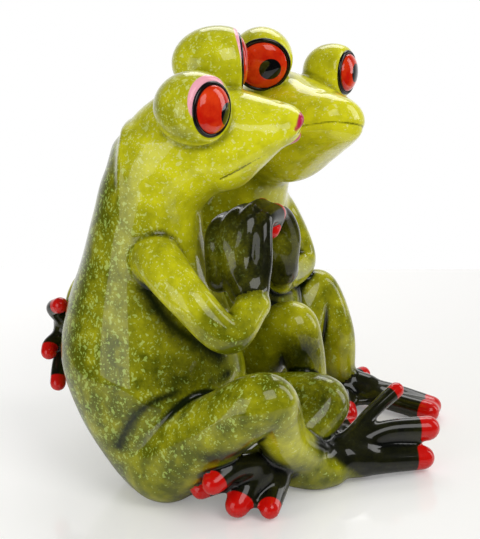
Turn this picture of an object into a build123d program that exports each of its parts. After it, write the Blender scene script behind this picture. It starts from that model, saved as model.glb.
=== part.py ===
from build123d import *
import os
from math import asin, cos, degrees, radians, sin, sqrt

# A pair of seated frogs with their arms round each other, cast as separate pieces and glued.
# Lengths are in millimetres, the pair looks along -Y, and the table is at Z = 0.
# A place is written across, back and up from its frog's middle, as shares of that frog's height.

# Where each frog's middle stands, and its height from the table to its shoulders and nape
lady_across = -25.54
lady_back = 2.25
lady_height = 88.0
gent_across = 19.46
gent_back = 2.25
gent_height = 86.0

# Torsos
lady_half_width = 23.5
lady_half_depth = 25.5
gent_half_width = 23.2
gent_half_depth = 24.0

# Heads
lady_head_length = 45.0
lady_head_half_width = 15.0
lady_head_half_height = 13.5
gent_head_length = 39.0
gent_head_half_width = 15.5
gent_head_half_height = 13.5
mouth_depth = 0.8
mouth_gap = 0.9
lip_radius = 1.7
nostril_radius = 0.9

# Eyes: the egg-shaped lid, the ring round its flat front, and the glossy eyeball that fills it
lady_lid_radius = 9.6
lady_right_lid_length = 11.3
lady_left_lid_length = 12.0
gent_right_lid_radius = 8.5
gent_right_lid_length = 9.4
gent_left_lid_radius = 7.8
gent_left_lid_length = 8.6
ring_wire_radius = 0.9
eye_bulge = 2.6
eye_plug_depth = 2.0
eye_clearance = 0.05

# Arms and hands
lady_arm_radius = 7.0
gent_arm_radius = 6.0
lady_palm_radius = 5.4
gent_palm_radius = 4.6
lady_finger_radius = 2.75
gent_finger_radius = 2.3

# Legs and feet
lady_leg_radius = 12.5
gent_leg_radius = 10.0
shin_rest_radius = 5.3
lady_sole_radius = 5.0
gent_sole_radius = 4.2
lady_toe_radius = 3.5
gent_toe_radius = 3.1
web_thickness = 2.0

# Torso outlines from the table up: height, back, half width and half depth
lady_torso_shares = [
    (0.00, 0.39, 0.60, 0.47),
    (0.09, 0.45, 0.84, 0.69),
    (0.23, 0.54, 0.97, 0.91),
    (0.38, 0.62, 0.98, 0.99),
    (0.55, 0.67, 0.87, 0.88),
    (0.70, 0.69, 0.75, 0.69),
    (0.86, 0.66, 0.63, 0.57),
    (0.97, 0.58, 0.55, 0.55),
    (1.06, 0.51, 0.46, 0.46),
    (1.12, 0.48, 0.28, 0.24),
]
gent_torso_shares = [
    (0.00, 0.42, 0.64, 0.50),
    (0.09, 0.52, 0.90, 0.78),
    (0.23, 0.62, 1.00, 0.97),
    (0.38, 0.67, 0.96, 1.00),
    (0.56, 0.67, 0.87, 0.88),
    (0.72, 0.56, 0.76, 0.70),
    (0.86, 0.36, 0.60, 0.56),
    (0.97, 0.16, 0.50, 0.48),
    (1.05, 0.04, 0.34, 0.34),
]

# Head outlines from the nape to the nose: forward, up, half width and half height
lady_head_shares = [
    (-0.36, -0.36, 0.40, 0.40),
    (-0.27, -0.34, 0.73, 0.70),
    (-0.09, -0.25, 0.97, 1.00),
    (0.11, -0.26, 1.00, 1.04),
    (0.27, -0.26, 0.90, 0.93),
    (0.42, -0.16, 0.70, 0.68),
    (0.54, -0.06, 0.50, 0.46),
    (0.61, -0.02, 0.38, 0.34),
    (0.64, 0.00, 0.25, 0.24),
]
gent_head_shares = [
    (-0.33, -0.15, 0.45, 0.48),
    (-0.23, -0.19, 0.74, 0.78),
    (-0.05, -0.24, 0.97, 1.02),
    (0.13, -0.26, 1.00, 0.96),
    (0.31, -0.24, 0.92, 0.82),
    (0.47, -0.20, 0.78, 0.66),
    (0.61, -0.16, 0.58, 0.50),
    (0.69, -0.14, 0.40, 0.36),
    (0.725, -0.13, 0.20, 0.18),
]
# Places of the head's middle, and how it turns to the frog's left, lifts its nose and tips left
lady_head_place_shares = (0.033, 0.059, 1.135)
gent_head_place_shares = (-0.022, -0.052, 1.108)
lady_head_turn = (10, 5, 17)
gent_head_turn = (-28, 10, -16)

# Eyes on the head: across, up and forward as shares of its half width, then the look aside and up
lady_right_eye_shares = (-0.711, 0.848, 0.34)
lady_left_eye_shares = (0.915, 0.763, 0.39)
gent_right_eye_shares = (-0.847, 0.817, 0.276)
gent_left_eye_shares = (0.786, 0.78, 0.313)
lady_right_look = (-26.0, 10.5)
lady_left_look = (17.9, -8.9)
gent_right_look = (-32.0, -24.0)
gent_left_look = (25.8, 0.8)
# How far a lid's flat front stands before the lid's middle, as a share of its length
lady_right_lid_front_share = 0.52
lid_front_share = 0.48
# The nape and the nose tip, ahead and up, where the head's outlines close
lady_nape_shares = (-0.40, -0.36)
lady_nose_shares = (0.66, 0.01)
gent_nape_shares = (-0.37, -0.13)
gent_nose_shares = (0.745, -0.13)
# The seam of the mouth: how high and how far ahead its middle lies, its length, and its slope in degrees
lady_mouth_shares = (-0.29, 0.42, 0.50)
gent_mouth_shares = (-0.28, 0.60, 0.36)
mouth_slope = 16
# The lady's two lips across her nose: across, up and ahead
lady_upper_lip_shares = [(-0.22, 0.10, 0.625), (0.0, 0.13, 0.655), (0.22, 0.10, 0.625)]
lady_lower_lip_shares = [(-0.18, -0.20, 0.605), (0.0, -0.22, 0.635), (0.18, -0.20, 0.605)]
lip_radius_shares = [0.8, 1.0, 0.8]
# Nostrils on the snout: across, up and ahead
lady_nostril_shares = (0.26, 0.37, 0.52)
gent_nostril_shares = (0.26, 0.40, 0.50)

# Arms from inside the shoulder to the wrist, with the radius at each place
lady_right_arm_shares = [
    (-0.067, 0.154, 0.75),
    (-0.159, 0.081, 0.77),
    (-0.238, -0.047, 0.705),
    (-0.22, -0.165, 0.60),
    (-0.09, -0.195, 0.655),
]
lady_right_arm_radius_shares = [0.9, 0.93, 0.80, 0.72, 0.62]
lady_left_arm_shares = [
    (0.10, 0.20, 0.77),
    (0.20, 0.33, 0.80),
    (0.33, 0.415, 0.79),
    (0.46, 0.40, 0.76),
]
lady_left_arm_radius_shares = [0.95, 0.85, 0.72, 0.6]
gent_left_arm_shares = [
    (0.06, 0.06, 0.77),
    (0.113, 0.019, 0.704),
    (0.158, -0.033, 0.534),
    (-0.075, -0.079, 0.548),
    (-0.235, -0.13, 0.61),
]
gent_left_arm_radius_shares = [0.92, 0.77, 0.67, 0.58, 0.58]
gent_right_arm_shares = [
    (-0.09, 0.22, 0.76),
    (-0.23, 0.43, 0.67),
    (-0.37, 0.525, 0.535),
    (-0.42, 0.53, 0.46),
]
gent_right_arm_radius_shares = [0.95, 0.85, 0.73, 0.67]

# Hands: each finger runs from the wrist over its knuckle to its tip
lady_right_palm_shares = [(-0.055, -0.16, 0.685), (-0.022, -0.12, 0.736), (0.0, -0.09, 0.794)]
lady_right_finger_shares = [
    [(-0.035, -0.06, 0.75), (0.0, -0.033, 0.85), (0.10, -0.042, 0.868), (0.17, -0.046, 0.82)],
    [(-0.04, -0.095, 0.757), (0.0, -0.083, 0.875), (0.10, -0.092, 0.892), (0.178, -0.095, 0.837)],
    [(-0.034, -0.132, 0.761), (0.01, -0.131, 0.885), (0.10, -0.135, 0.90), (0.172, -0.134, 0.847)],
    [(-0.051, -0.185, 0.70), (-0.026, -0.192, 0.77), (0.02, -0.18, 0.87), (0.131, -0.173, 0.868)],
]
lady_left_palm_shares = [(0.50, 0.39, 0.75), (0.60, 0.365, 0.72)]
lady_left_finger_shares = [
    [(0.60, 0.365, 0.74), (0.70, 0.32, 0.77), (0.76, 0.26, 0.76)],
    [(0.60, 0.365, 0.72), (0.72, 0.33, 0.69), (0.78, 0.27, 0.67)],
    [(0.60, 0.365, 0.70), (0.69, 0.36, 0.63), (0.75, 0.31, 0.58)],
]
gent_left_palm_shares = [(-0.27, -0.15, 0.66), (-0.29, -0.15, 0.74), (-0.28, -0.14, 0.81)]
gent_left_finger_shares = [
    [(-0.292, -0.175, 0.68), (-0.295, -0.192, 0.79), (-0.345, -0.18, 0.875), (-0.432, -0.178, 0.845)],
    [(-0.303, -0.129, 0.783), (-0.307, -0.117, 0.855), (-0.348, -0.113, 0.89)],
]
gent_right_palm_shares = [(-0.42, 0.53, 0.44), (-0.43, 0.525, 0.38)]
gent_right_finger_shares = [
    [(-0.43, 0.53, 0.44), (-0.49, 0.55, 0.50), (-0.523, 0.51, 0.53)],
    [(-0.43, 0.53, 0.40), (-0.50, 0.56, 0.38), (-0.523, 0.556, 0.362)],
    [(-0.43, 0.53, 0.38), (-0.48, 0.54, 0.31), (-0.523, 0.526, 0.258)],
]

# Legs from inside the hip over the knee to the ankle
lady_right_leg_shares = [
    (-0.15, 0.07, 0.126),
    (-0.216, -0.155, 0.317),
    (-0.216, -0.289, 0.408),
    (-0.06, -0.28, 0.225),
    (0.135, -0.315, 0.07),
]
lady_right_leg_radius_shares = [0.90, 0.72, 0.60, 0.53, 0.40]
# The underside of the lady's right shin, down on the table
shin_rest_shares = [
    (0.116, -0.214, 0.06),
    (0.09, -0.258, 0.06),
    (0.10, -0.318, 0.058),
    (0.14, -0.358, 0.058),
]
lady_left_leg_shares = [
    (0.11, 0.10, 0.165),
    (0.17, -0.04, 0.185),
    (0.24, -0.29, 0.228),
    (0.08, -0.25, 0.145),
    (-0.01, -0.20, 0.11),
]
lady_left_leg_radius_shares = [0.9, 0.8, 0.58, 0.44, 0.42]
gent_right_leg_shares = [
    (-0.09, 0.09, 0.17),
    (-0.166, -0.127, 0.431),
    (-0.166, -0.177, 0.351),
    (-0.15, -0.215, 0.10),
]
gent_right_leg_radius_shares = [1.0, 0.66, 0.52, 0.45]
gent_left_leg_shares = [
    (0.116, -0.025, 0.295),
    (0.209, -0.093, 0.435),
    (0.233, -0.145, 0.27),
    (0.233, -0.166, 0.10),
]
gent_left_leg_radius_shares = [0.95, 0.47, 0.48, 0.44]

# Feet: the sole from the ankle, then toes from the ankle over their middles to their round tips,
# each place with its radius as a share of the frog's toe radius
lady_right_sole_shares = [(0.14, -0.32, 0.075), (0.19, -0.385, 0.08), (0.225, -0.42, 0.07)]
lady_right_toe_shares = [
    [
        (0.15, -0.333, 0.089, 0.97),
        (0.227, -0.385, 0.125, 0.74),
        (0.328, -0.419, 0.175, 0.60),
        (0.433, -0.465, 0.221, 0.66),
    ],
    [
        (0.17, -0.33, 0.08, 1.20),
        (0.235, -0.40, 0.10, 1.03),
        (0.31, -0.477, 0.132, 0.86),
        (0.396, -0.585, 0.125, 1.09),
    ],
    [
        (0.16, -0.33, 0.06, 1.31),
        (0.20, -0.405, 0.06, 1.29),
        (0.272, -0.489, 0.052, 1.14),
        (0.35, -0.588, 0.043, 1.03),
    ],
]
lady_left_sole_shares = [(-0.02, -0.225, 0.10), (-0.04, -0.234, 0.10), (-0.095, -0.19, 0.12)]
lady_left_toe_shares = [
    [(-0.10, -0.206, 0.145, 1.20), (-0.17, -0.16, 0.15, 1.17), (-0.232, -0.122, 0.118, 0.97)],
    [(-0.10, -0.215, 0.109, 1.26), (-0.143, -0.195, 0.084, 1.20), (-0.195, -0.186, 0.045, 1.14)],
    [(-0.055, -0.25, 0.083, 1.20), (-0.09, -0.26, 0.06, 1.06), (-0.164, -0.278, 0.035, 0.96)],
    [(-0.106, -0.163, 0.112, 1.11), (-0.158, -0.119, 0.09, 0.97), (-0.164, -0.052, 0.045, 0.97)],
]
gent_right_sole_shares = [(-0.15, -0.21, 0.08), (-0.13, -0.26, 0.06)]
gent_right_toe_shares = [
    [(-0.15, -0.24, 0.05, 1.23), (-0.16, -0.30, 0.05, 0.94), (-0.165, -0.375, 0.032, 1.0)],
    [(-0.15, -0.24, 0.05, 1.23), (-0.105, -0.29, 0.05, 0.94), (-0.07, -0.355, 0.032, 1.0)],
    [(-0.15, -0.24, 0.05, 1.23), (-0.07, -0.25, 0.05, 0.94), (0.0, -0.29, 0.032, 1.0)],
]
gent_left_sole_shares = [(0.235, -0.17, 0.09), (0.25, -0.25, 0.07)]
gent_left_toe_shares = [
    [(0.24, -0.17, 0.065, 1.10), (0.30, -0.185, 0.07, 0.77), (0.366, -0.20, 0.065, 0.81)],
    [(0.24, -0.17, 0.065, 1.23), (0.27, -0.34, 0.06, 0.94), (0.274, -0.508, 0.034, 1.0)],
    [(0.24, -0.17, 0.065, 1.23), (0.225, -0.33, 0.05, 0.94), (0.215, -0.495, 0.034, 1.0)],
    [(0.24, -0.17, 0.065, 1.23), (0.16, -0.21, 0.05, 0.94), (0.095, -0.245, 0.032, 1.0)],
]
# Radius along a finger as shares of its own, the last being the round tip
finger_radius_shares = [1.25, 0.95, 1.0]
long_finger_radius_shares = [1.25, 1.05, 0.9, 1.0]
# A web reaches this share of the way from its toes' middles to their tips
web_reach_share = 0.3
# A run between two joints is this much slimmer than the joints, so the joints show
run_share = 0.97


def lady_spot(shares):
    """A place on the lady, from its shares of her height."""
    across, back, up = shares
    return Vector(lady_across + across * lady_height, lady_back + back * lady_height, up * lady_height)


def gent_spot(shares):
    """A place on the gent, from its shares of his height."""
    across, back, up = shares
    return Vector(gent_across + across * gent_height, gent_back + back * gent_height, up * gent_height)


def turned_plane(place, turn, lift, tip):
    """A plane at place whose Z looks the way a face does, and whose Y is that face's up."""
    level = Vector(cos(radians(turn)), sin(radians(turn)), 0)
    straight = Vector(sin(radians(turn)), -cos(radians(turn)), 0)
    ahead = straight * cos(radians(lift)) + Vector(0, 0, 1) * sin(radians(lift))
    side = level * cos(radians(tip)) + ahead.cross(level) * sin(radians(tip))
    return Plane(origin=place, x_dir=side, z_dir=ahead)


def placed_plane(plane, across, up, ahead):
    """The same plane moved along its own three directions."""
    return Plane(origin=plane.from_local_coords((across, up, ahead)), x_dir=plane.x_dir, z_dir=plane.z_dir)


def cut_by(*others):
    """Cut the open part back to the faces of the larger pieces beside it."""
    for other in others:
        add(other, mode=Mode.SUBTRACT)


def torso_loft(middle_across, middle_back, height, half_width, half_depth, shares):
    """The torso's round outlines joined into one smooth body, in the open part."""
    outlines = []
    for up, back, width, depth in shares:
        with BuildSketch(Plane((middle_across, middle_back + back * half_depth, up * height))) as outline:
            Ellipse(width * half_width, depth * half_depth)
        outlines.append(outline.sketch)
    loft(sections=outlines)


def head_loft(plane, length, half_width, half_height, shares, nape_shares, nose_shares, trim, mode):
    """The head's upright outlines joined from nape to nose, in the open part."""
    nape = plane.from_local_coords((0, nape_shares[1] * half_height, nape_shares[0] * length + trim))
    nose = plane.from_local_coords((0, nose_shares[1] * half_height, nose_shares[0] * length - trim))
    outlines = [Vertex(nape)]
    for ahead, up, width, height in shares:
        with BuildSketch(placed_plane(plane, 0, up * half_height, ahead * length)) as outline:
            Ellipse(width * half_width - trim, height * half_height - trim)
        outlines.append(outline.sketch)
    outlines.append(Vertex(nose))
    loft(sections=outlines, mode=mode)


def limb(places, radii):
    """A rounded limb through the places, in the open part."""
    for start, end, start_radius, end_radius in zip(places, places[1:], radii, radii[1:]):
        run = end - start
        across = Plane(start, z_dir=run)
        with BuildSketch(Plane(origin=start, x_dir=across.x_dir, z_dir=-across.y_dir)) as half_run:
            with BuildLine():
                Polyline(
                    (0, 0),
                    (start_radius * run_share, 0),
                    (end_radius * run_share, run.length),
                    (0, run.length),
                    close=True,
                )
            make_face()
        revolve(profiles=half_run.sketch, axis=Axis(start, run))
    runs = [(end - start).normalized() for start, end in zip(places, places[1:])]
    for place, radius, run_in, run_out in zip(places, radii, runs[:1] + runs, runs + runs[-1:]):
        with Locations(Plane(place, z_dir=run_in + run_out)):
            Sphere(radius)


def finger(places, radius):
    """A finger through the places, in the open part, ending in its round tip."""
    shares = finger_radius_shares if len(places) == len(finger_radius_shares) else long_finger_radius_shares
    limb(places, [radius * share for share in shares])


def web(first_toe, second_toe):
    """The skin between two toes, as a flat three-cornered plate in the open part."""
    root = first_toe[0]
    first, second = [toe[-2] + (toe[-1] - toe[-2]) * web_reach_share for toe in (first_toe, second_toe)]
    sheet = Plane(origin=root, x_dir=first - root, z_dir=(first - root).cross(second - root))
    corners = [sheet.to_local_coords(corner) for corner in (root, first, second)]
    with BuildSketch(sheet) as skin:
        with BuildLine():
            Polyline(*corners, close=True)
        make_face()
    extrude(to_extrude=skin.sketch, amount=web_thickness / 2, both=True)


def eye_front(head_plane, half_width, shares, look, lid):
    """The plane of a lid's flat front, whose Z is the way the eye looks."""
    across, up, ahead = shares
    aside, lift = look
    lid_radius, lid_length, front_share = lid
    middle = head_plane.from_local_coords((across * half_width, up * half_width, ahead * half_width))
    level = head_plane.z_dir * cos(radians(aside)) + head_plane.x_dir * sin(radians(aside))
    gaze = level * cos(radians(lift)) + head_plane.y_dir * sin(radians(lift))
    return Plane(origin=middle + gaze * (front_share * lid_length), z_dir=gaze)


def flat_radius(lid):
    """The radius of a lid's flat front."""
    lid_radius, lid_length, front_share = lid
    return lid_radius * sqrt(1 - front_share**2)


def eyeball_radius(lid):
    """The radius that a lid's ring leaves for its eyeball."""
    return flat_radius(lid) - 2 * ring_wire_radius - eye_clearance


def eye_section(front):
    """The plane of an eye's turned outline: X is out from its middle, Y the way it looks."""
    return Plane(origin=front.origin, x_dir=front.x_dir, z_dir=-front.y_dir)


def make_lid(front, lid):
    """An egg-shaped lid with a flat front, the raised ring round its eye and the socket inside."""
    lid_radius, lid_length, front_share = lid
    edge = flat_radius(lid)
    inner = edge - 2 * ring_wire_radius
    middle = -front_share * lid_length
    with BuildPart() as shell:
        with BuildSketch(eye_section(front)):
            with BuildLine():
                Polyline((0, middle - lid_length), (0, -eye_plug_depth), (inner, -eye_plug_depth), (inner, 0))
                ThreePointArc((inner, 0), (inner + ring_wire_radius, ring_wire_radius), (edge, 0))
                EllipticalCenterArc(
                    (0, middle),
                    lid_radius,
                    lid_length,
                    start_angle=-90,
                    arc_size=90 + degrees(asin(front_share)),
                )
            make_face()
        revolve(axis=Axis(front.origin, front.z_dir))
    return shell.part


def clear_front(front, lid):
    """Cut away what the open part holds where an eye and its ring will stand."""
    lid_radius, lid_length, front_share = lid
    with Locations(placed_plane(front, 0, 0, -eye_plug_depth)):
        Cylinder(
            flat_radius(lid) - ring_wire_radius,
            eye_plug_depth + lid_radius,
            align=(Align.CENTER, Align.CENTER, Align.MIN),
            mode=Mode.SUBTRACT,
        )


def make_eye(front, lid):
    """A glossy eyeball: a round plug with a domed front."""
    radius = eyeball_radius(lid)
    with BuildPart() as eye:
        with BuildSketch(eye_section(front)):
            with BuildLine():
                TangentArc((0, eye_bulge), (radius, 0), tangent=(1, 0))
                Polyline((radius, 0), (radius, -eye_plug_depth), (0, -eye_plug_depth), (0, eye_bulge))
            make_face()
        revolve(axis=Axis(front.origin, front.z_dir))
    return eye.part


def make_mouth_seam(plane, length, half_width, half_height, shares, nape_shares, nose_shares, mouth_shares):
    """The thin groove round the snout that marks where the lips meet."""
    up, ahead, reach = mouth_shares
    with BuildPart() as seam:
        with Locations(placed_plane(plane, 0, up * half_height, ahead * length).rotated((-mouth_slope, 0, 0))):
            Box(2 * half_width, mouth_gap, reach * length)
        head_loft(
            plane, length, half_width, half_height, shares, nape_shares, nose_shares, mouth_depth, Mode.SUBTRACT
        )
    return seam.part


def face_spot(plane, length, half_width, half_height, shares):
    """A place on a head, from its shares of the head's own sizes."""
    across, up, ahead = shares
    return plane.from_local_coords((across * half_width, up * half_height, ahead * length))


def nostrils(head_sizes, shares):
    """The two small round nostrils, cut from the open head."""
    across, up, ahead = shares
    for side in (-across, across):
        with Locations(face_spot(*head_sizes[:4], (side, up, ahead))):
            Sphere(nostril_radius, mode=Mode.SUBTRACT)


def make_limb(spot, shares, radius, radius_shares, neighbours):
    """An arm or a leg, flat where it meets the table and cut by the larger pieces beside it."""
    with BuildPart() as piece:
        limb([spot(place) for place in shares], [radius * share for share in radius_shares])
        cut_by(under_table.part, *neighbours)
    return piece.part


def make_hand(spot, palm_shares, palm_radius, finger_shares, radius, neighbours):
    """A hand: a round palm and its fingers."""
    with BuildPart() as piece:
        limb([spot(place) for place in palm_shares], [palm_radius] * len(palm_shares))
        for places in finger_shares:
            finger([spot(place) for place in places], radius)
        cut_by(*neighbours)
    return piece.part


def make_foot(spot, sole_shares, sole_radius, toe_shares, radius, neighbours):
    """A foot: a round sole and toes spread from the ankle with webs between them."""
    toes = [[spot(place[:3]) for place in places] for places in toe_shares]
    with BuildPart() as piece:
        limb([spot(place) for place in sole_shares], [sole_radius] * len(sole_shares))
        for toe, places in zip(toes, toe_shares):
            limb(toe, [radius * place[3] for place in places])
        for first, second in zip(toes, toes[1:]):
            web(first, second)
        cut_by(under_table.part, *neighbours)
    return piece.part


# The planes of the two faces and of the fronts of the four eyes
lady_face = turned_plane(lady_spot(lady_head_place_shares), *lady_head_turn)
gent_face = turned_plane(gent_spot(gent_head_place_shares), *gent_head_turn)
lady_right_lid = (lady_lid_radius, lady_right_lid_length, lady_right_lid_front_share)
lady_left_lid = (lady_lid_radius, lady_left_lid_length, lid_front_share)
gent_right_lid = (gent_right_lid_radius, gent_right_lid_length, lid_front_share)
gent_left_lid = (gent_left_lid_radius, gent_left_lid_length, lid_front_share)
lady_right_front = eye_front(
    lady_face, lady_head_half_width, lady_right_eye_shares, lady_right_look, lady_right_lid
)
lady_left_front = eye_front(lady_face, lady_head_half_width, lady_left_eye_shares, lady_left_look, lady_left_lid)
gent_right_front = eye_front(
    gent_face, gent_head_half_width, gent_right_eye_shares, gent_right_look, gent_right_lid
)
gent_left_front = eye_front(gent_face, gent_head_half_width, gent_left_eye_shares, gent_left_look, gent_left_lid)

# All that lies below the table, which keeps legs and feet flat where they rest
with BuildPart() as under_table:
    Box(
        2 * (lady_height + gent_height),
        2 * (lady_height + gent_height),
        lady_height,
        align=(Align.CENTER, Align.CENTER, Align.MAX),
    )

# Torsos, with flat seats on the table
with BuildPart() as lady_torso:
    torso_loft(lady_across, lady_back, lady_height, lady_half_width, lady_half_depth, lady_torso_shares)

with BuildPart() as gent_torso:
    torso_loft(gent_across, gent_back, gent_height, gent_half_width, gent_half_depth, gent_torso_shares)
    cut_by(lady_torso.part)

# Heads, with their lids, eye sockets, mouths and nostrils
lady_head_sizes = (
    lady_face,
    lady_head_length,
    lady_head_half_width,
    lady_head_half_height,
    lady_head_shares,
    lady_nape_shares,
    lady_nose_shares,
)
gent_head_sizes = (
    gent_face,
    gent_head_length,
    gent_head_half_width,
    gent_head_half_height,
    gent_head_shares,
    gent_nape_shares,
    gent_nose_shares,
)
lady_eyes = [(lady_right_front, lady_right_lid), (lady_left_front, lady_left_lid)]
gent_eyes = [(gent_right_front, gent_right_lid), (gent_left_front, gent_left_lid)]
lady_lids = [make_lid(*eye) for eye in lady_eyes]
gent_lids = [make_lid(*eye) for eye in gent_eyes]
lady_seam = make_mouth_seam(*lady_head_sizes, lady_mouth_shares)
gent_seam = make_mouth_seam(*gent_head_sizes, gent_mouth_shares)

with BuildPart() as lady_head:
    head_loft(*lady_head_sizes, 0, Mode.ADD)
    for eye in lady_eyes:
        clear_front(*eye)
    cut_by(lady_seam)
    nostrils(lady_head_sizes, lady_nostril_shares)
    for lid in lady_lids:
        add(lid)
    for lip_shares in (lady_upper_lip_shares, lady_lower_lip_shares):
        limb(
            [face_spot(*lady_head_sizes[:4], place_shares) for place_shares in lip_shares],
            [lip_radius * share for share in lip_radius_shares],
        )
    cut_by(lady_torso.part)

with BuildPart() as gent_head:
    head_loft(*gent_head_sizes, 0, Mode.ADD)
    for eye in gent_eyes:
        clear_front(*eye)
    cut_by(gent_seam)
    nostrils(gent_head_sizes, gent_nostril_shares)
    for lid in gent_lids:
        add(lid)
    cut_by(gent_torso.part, lady_head.part)

# Eyeballs
pieces = {
    "lady_torso": lady_torso.part,
    "gent_torso": gent_torso.part,
    "lady_head": lady_head.part,
    "gent_head": gent_head.part,
    "lady_right_eye": make_eye(lady_right_front, lady_right_lid),
    "lady_left_eye": make_eye(lady_left_front, lady_left_lid),
    "gent_right_eye": make_eye(gent_right_front, gent_right_lid),
    "gent_left_eye": make_eye(gent_left_front, gent_left_lid),
}

# Legs, the nearer ones whole and the others cut round them
trunks = [lady_torso.part, gent_torso.part]
with BuildPart() as lady_right_leg:
    limb(
        [lady_spot(place) for place in lady_right_leg_shares],
        [lady_leg_radius * share for share in lady_right_leg_radius_shares],
    )
    limb([lady_spot(place) for place in shin_rest_shares], [shin_rest_radius] * len(shin_rest_shares))
    cut_by(under_table.part, *trunks)
pieces["lady_right_leg"] = lady_right_leg.part
pieces["lady_left_leg"] = make_limb(
    lady_spot,
    lady_left_leg_shares,
    lady_leg_radius,
    lady_left_leg_radius_shares,
    trunks + [pieces["lady_right_leg"]],
)
lady_legs = [pieces["lady_right_leg"], pieces["lady_left_leg"]]
pieces["gent_right_leg"] = make_limb(
    gent_spot, gent_right_leg_shares, gent_leg_radius, gent_right_leg_radius_shares, trunks + lady_legs
)
pieces["gent_left_leg"] = make_limb(
    gent_spot, gent_left_leg_shares, gent_leg_radius, gent_left_leg_radius_shares, trunks
)
legs = lady_legs + [pieces["gent_right_leg"], pieces["gent_left_leg"]]

# Arms: the far ones cross behind the two backs
heads = [lady_head.part, gent_head.part]
pieces["lady_right_arm"] = make_limb(
    lady_spot, lady_right_arm_shares, lady_arm_radius, lady_right_arm_radius_shares, trunks + heads + legs
)
pieces["gent_left_arm"] = make_limb(
    gent_spot, gent_left_arm_shares, gent_arm_radius, gent_left_arm_radius_shares, trunks + heads + legs
)
pieces["gent_right_arm"] = make_limb(
    gent_spot, gent_right_arm_shares, gent_arm_radius, gent_right_arm_radius_shares, trunks + heads
)
pieces["lady_left_arm"] = make_limb(
    lady_spot,
    lady_left_arm_shares,
    lady_arm_radius,
    lady_left_arm_radius_shares,
    trunks + heads + [pieces["gent_right_arm"]],
)
arms = [
    pieces["lady_right_arm"],
    pieces["gent_left_arm"],
    pieces["gent_right_arm"],
    pieces["lady_left_arm"],
]

# Hands: two clasped in front and one on each back
pieces["lady_right_hand"] = make_hand(
    lady_spot,
    lady_right_palm_shares,
    lady_palm_radius,
    lady_right_finger_shares,
    lady_finger_radius,
    trunks + heads + legs + arms,
)
pieces["gent_left_hand"] = make_hand(
    gent_spot,
    gent_left_palm_shares,
    gent_palm_radius,
    gent_left_finger_shares,
    gent_finger_radius,
    trunks + heads + legs + arms + [pieces["lady_right_hand"]],
)
pieces["gent_right_hand"] = make_hand(
    gent_spot,
    gent_right_palm_shares,
    gent_palm_radius,
    gent_right_finger_shares,
    gent_finger_radius,
    trunks + arms,
)
pieces["lady_left_hand"] = make_hand(
    lady_spot,
    lady_left_palm_shares,
    lady_palm_radius,
    lady_left_finger_shares,
    lady_finger_radius,
    trunks + arms,
)

# Feet
pieces["lady_right_foot"] = make_foot(
    lady_spot,
    lady_right_sole_shares,
    lady_sole_radius,
    lady_right_toe_shares,
    lady_toe_radius,
    trunks + legs,
)
pieces["lady_left_foot"] = make_foot(
    lady_spot,
    lady_left_sole_shares,
    lady_sole_radius,
    lady_left_toe_shares,
    lady_toe_radius,
    trunks + legs,
)
pieces["gent_right_foot"] = make_foot(
    gent_spot,
    gent_right_sole_shares,
    gent_sole_radius,
    gent_right_toe_shares,
    gent_toe_radius,
    trunks + legs + [pieces["lady_right_foot"]],
)
pieces["gent_left_foot"] = make_foot(
    gent_spot,
    gent_left_sole_shares,
    gent_sole_radius,
    gent_left_toe_shares,
    gent_toe_radius,
    trunks + legs + [pieces["lady_right_foot"], pieces["gent_right_foot"]],
)

os.makedirs("parts", exist_ok=True)
for name, piece in pieces.items():
    piece.label = name
    export_step(piece, "parts/" + name + ".step")
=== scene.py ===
import math

import bpy
import numpy as np
from mathutils import Matrix, Vector


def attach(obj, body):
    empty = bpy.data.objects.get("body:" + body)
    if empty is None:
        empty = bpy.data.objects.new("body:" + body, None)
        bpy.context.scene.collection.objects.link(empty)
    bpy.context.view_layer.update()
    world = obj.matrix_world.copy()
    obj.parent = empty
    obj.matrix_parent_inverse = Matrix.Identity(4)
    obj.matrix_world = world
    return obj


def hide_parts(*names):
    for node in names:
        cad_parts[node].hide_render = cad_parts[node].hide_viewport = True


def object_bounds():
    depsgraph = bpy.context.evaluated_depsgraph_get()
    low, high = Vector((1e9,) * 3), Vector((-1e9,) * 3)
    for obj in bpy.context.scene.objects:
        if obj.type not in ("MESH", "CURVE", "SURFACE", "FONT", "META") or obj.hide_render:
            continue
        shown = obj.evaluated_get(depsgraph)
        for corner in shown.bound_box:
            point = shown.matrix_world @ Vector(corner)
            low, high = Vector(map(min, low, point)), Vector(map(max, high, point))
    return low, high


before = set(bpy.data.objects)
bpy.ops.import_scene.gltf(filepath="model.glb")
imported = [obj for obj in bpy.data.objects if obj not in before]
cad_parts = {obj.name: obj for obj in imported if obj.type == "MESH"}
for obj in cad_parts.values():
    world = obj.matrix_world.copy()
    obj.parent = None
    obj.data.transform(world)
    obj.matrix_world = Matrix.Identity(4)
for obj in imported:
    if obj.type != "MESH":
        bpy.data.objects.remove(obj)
cad_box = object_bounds()

# Every length below is in millimetres, and the meshes are brought to metres as they are made.
# The pair looks along -Y, the table is at Z = 0, and the lady sits at the frog pair's right.
MM = 0.001

# How finely the skins are drawn: the spacing of the grid that the clay is measured on
grain = 0.6
# How far round a form its clay is measured
reach = 9.0

# Camera: a long lens, from the lady's right and a little above
camera_turn = -67.0
camera_lift = 20.0
camera_distance = 620.0
camera_lens = 150.73
camera_target = (-2.54, 2.25, 54.5)

# The room: how strongly it lights the pair, and how bright its near side is in reflections
room_level = 0.46
near_room = 0.02
# Reflections brighten towards the far side of the room, between these cosines of the angle to it
far_room = (0.35, 0.95)
# Soft boxes: turn from the camera and height in degrees, width and height, and power
lamp_distance = 520
soft_boxes = {
    "left_soft_box": (-48, 8, (320, 380), 0.75),
    "key_soft_box": (34, 42, (300, 300), 0.95),
    "right_soft_box": (108, 18, (150, 420), 0.60),
    "back_soft_box": (170, 40, (420, 200), 0.90),
}
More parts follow.
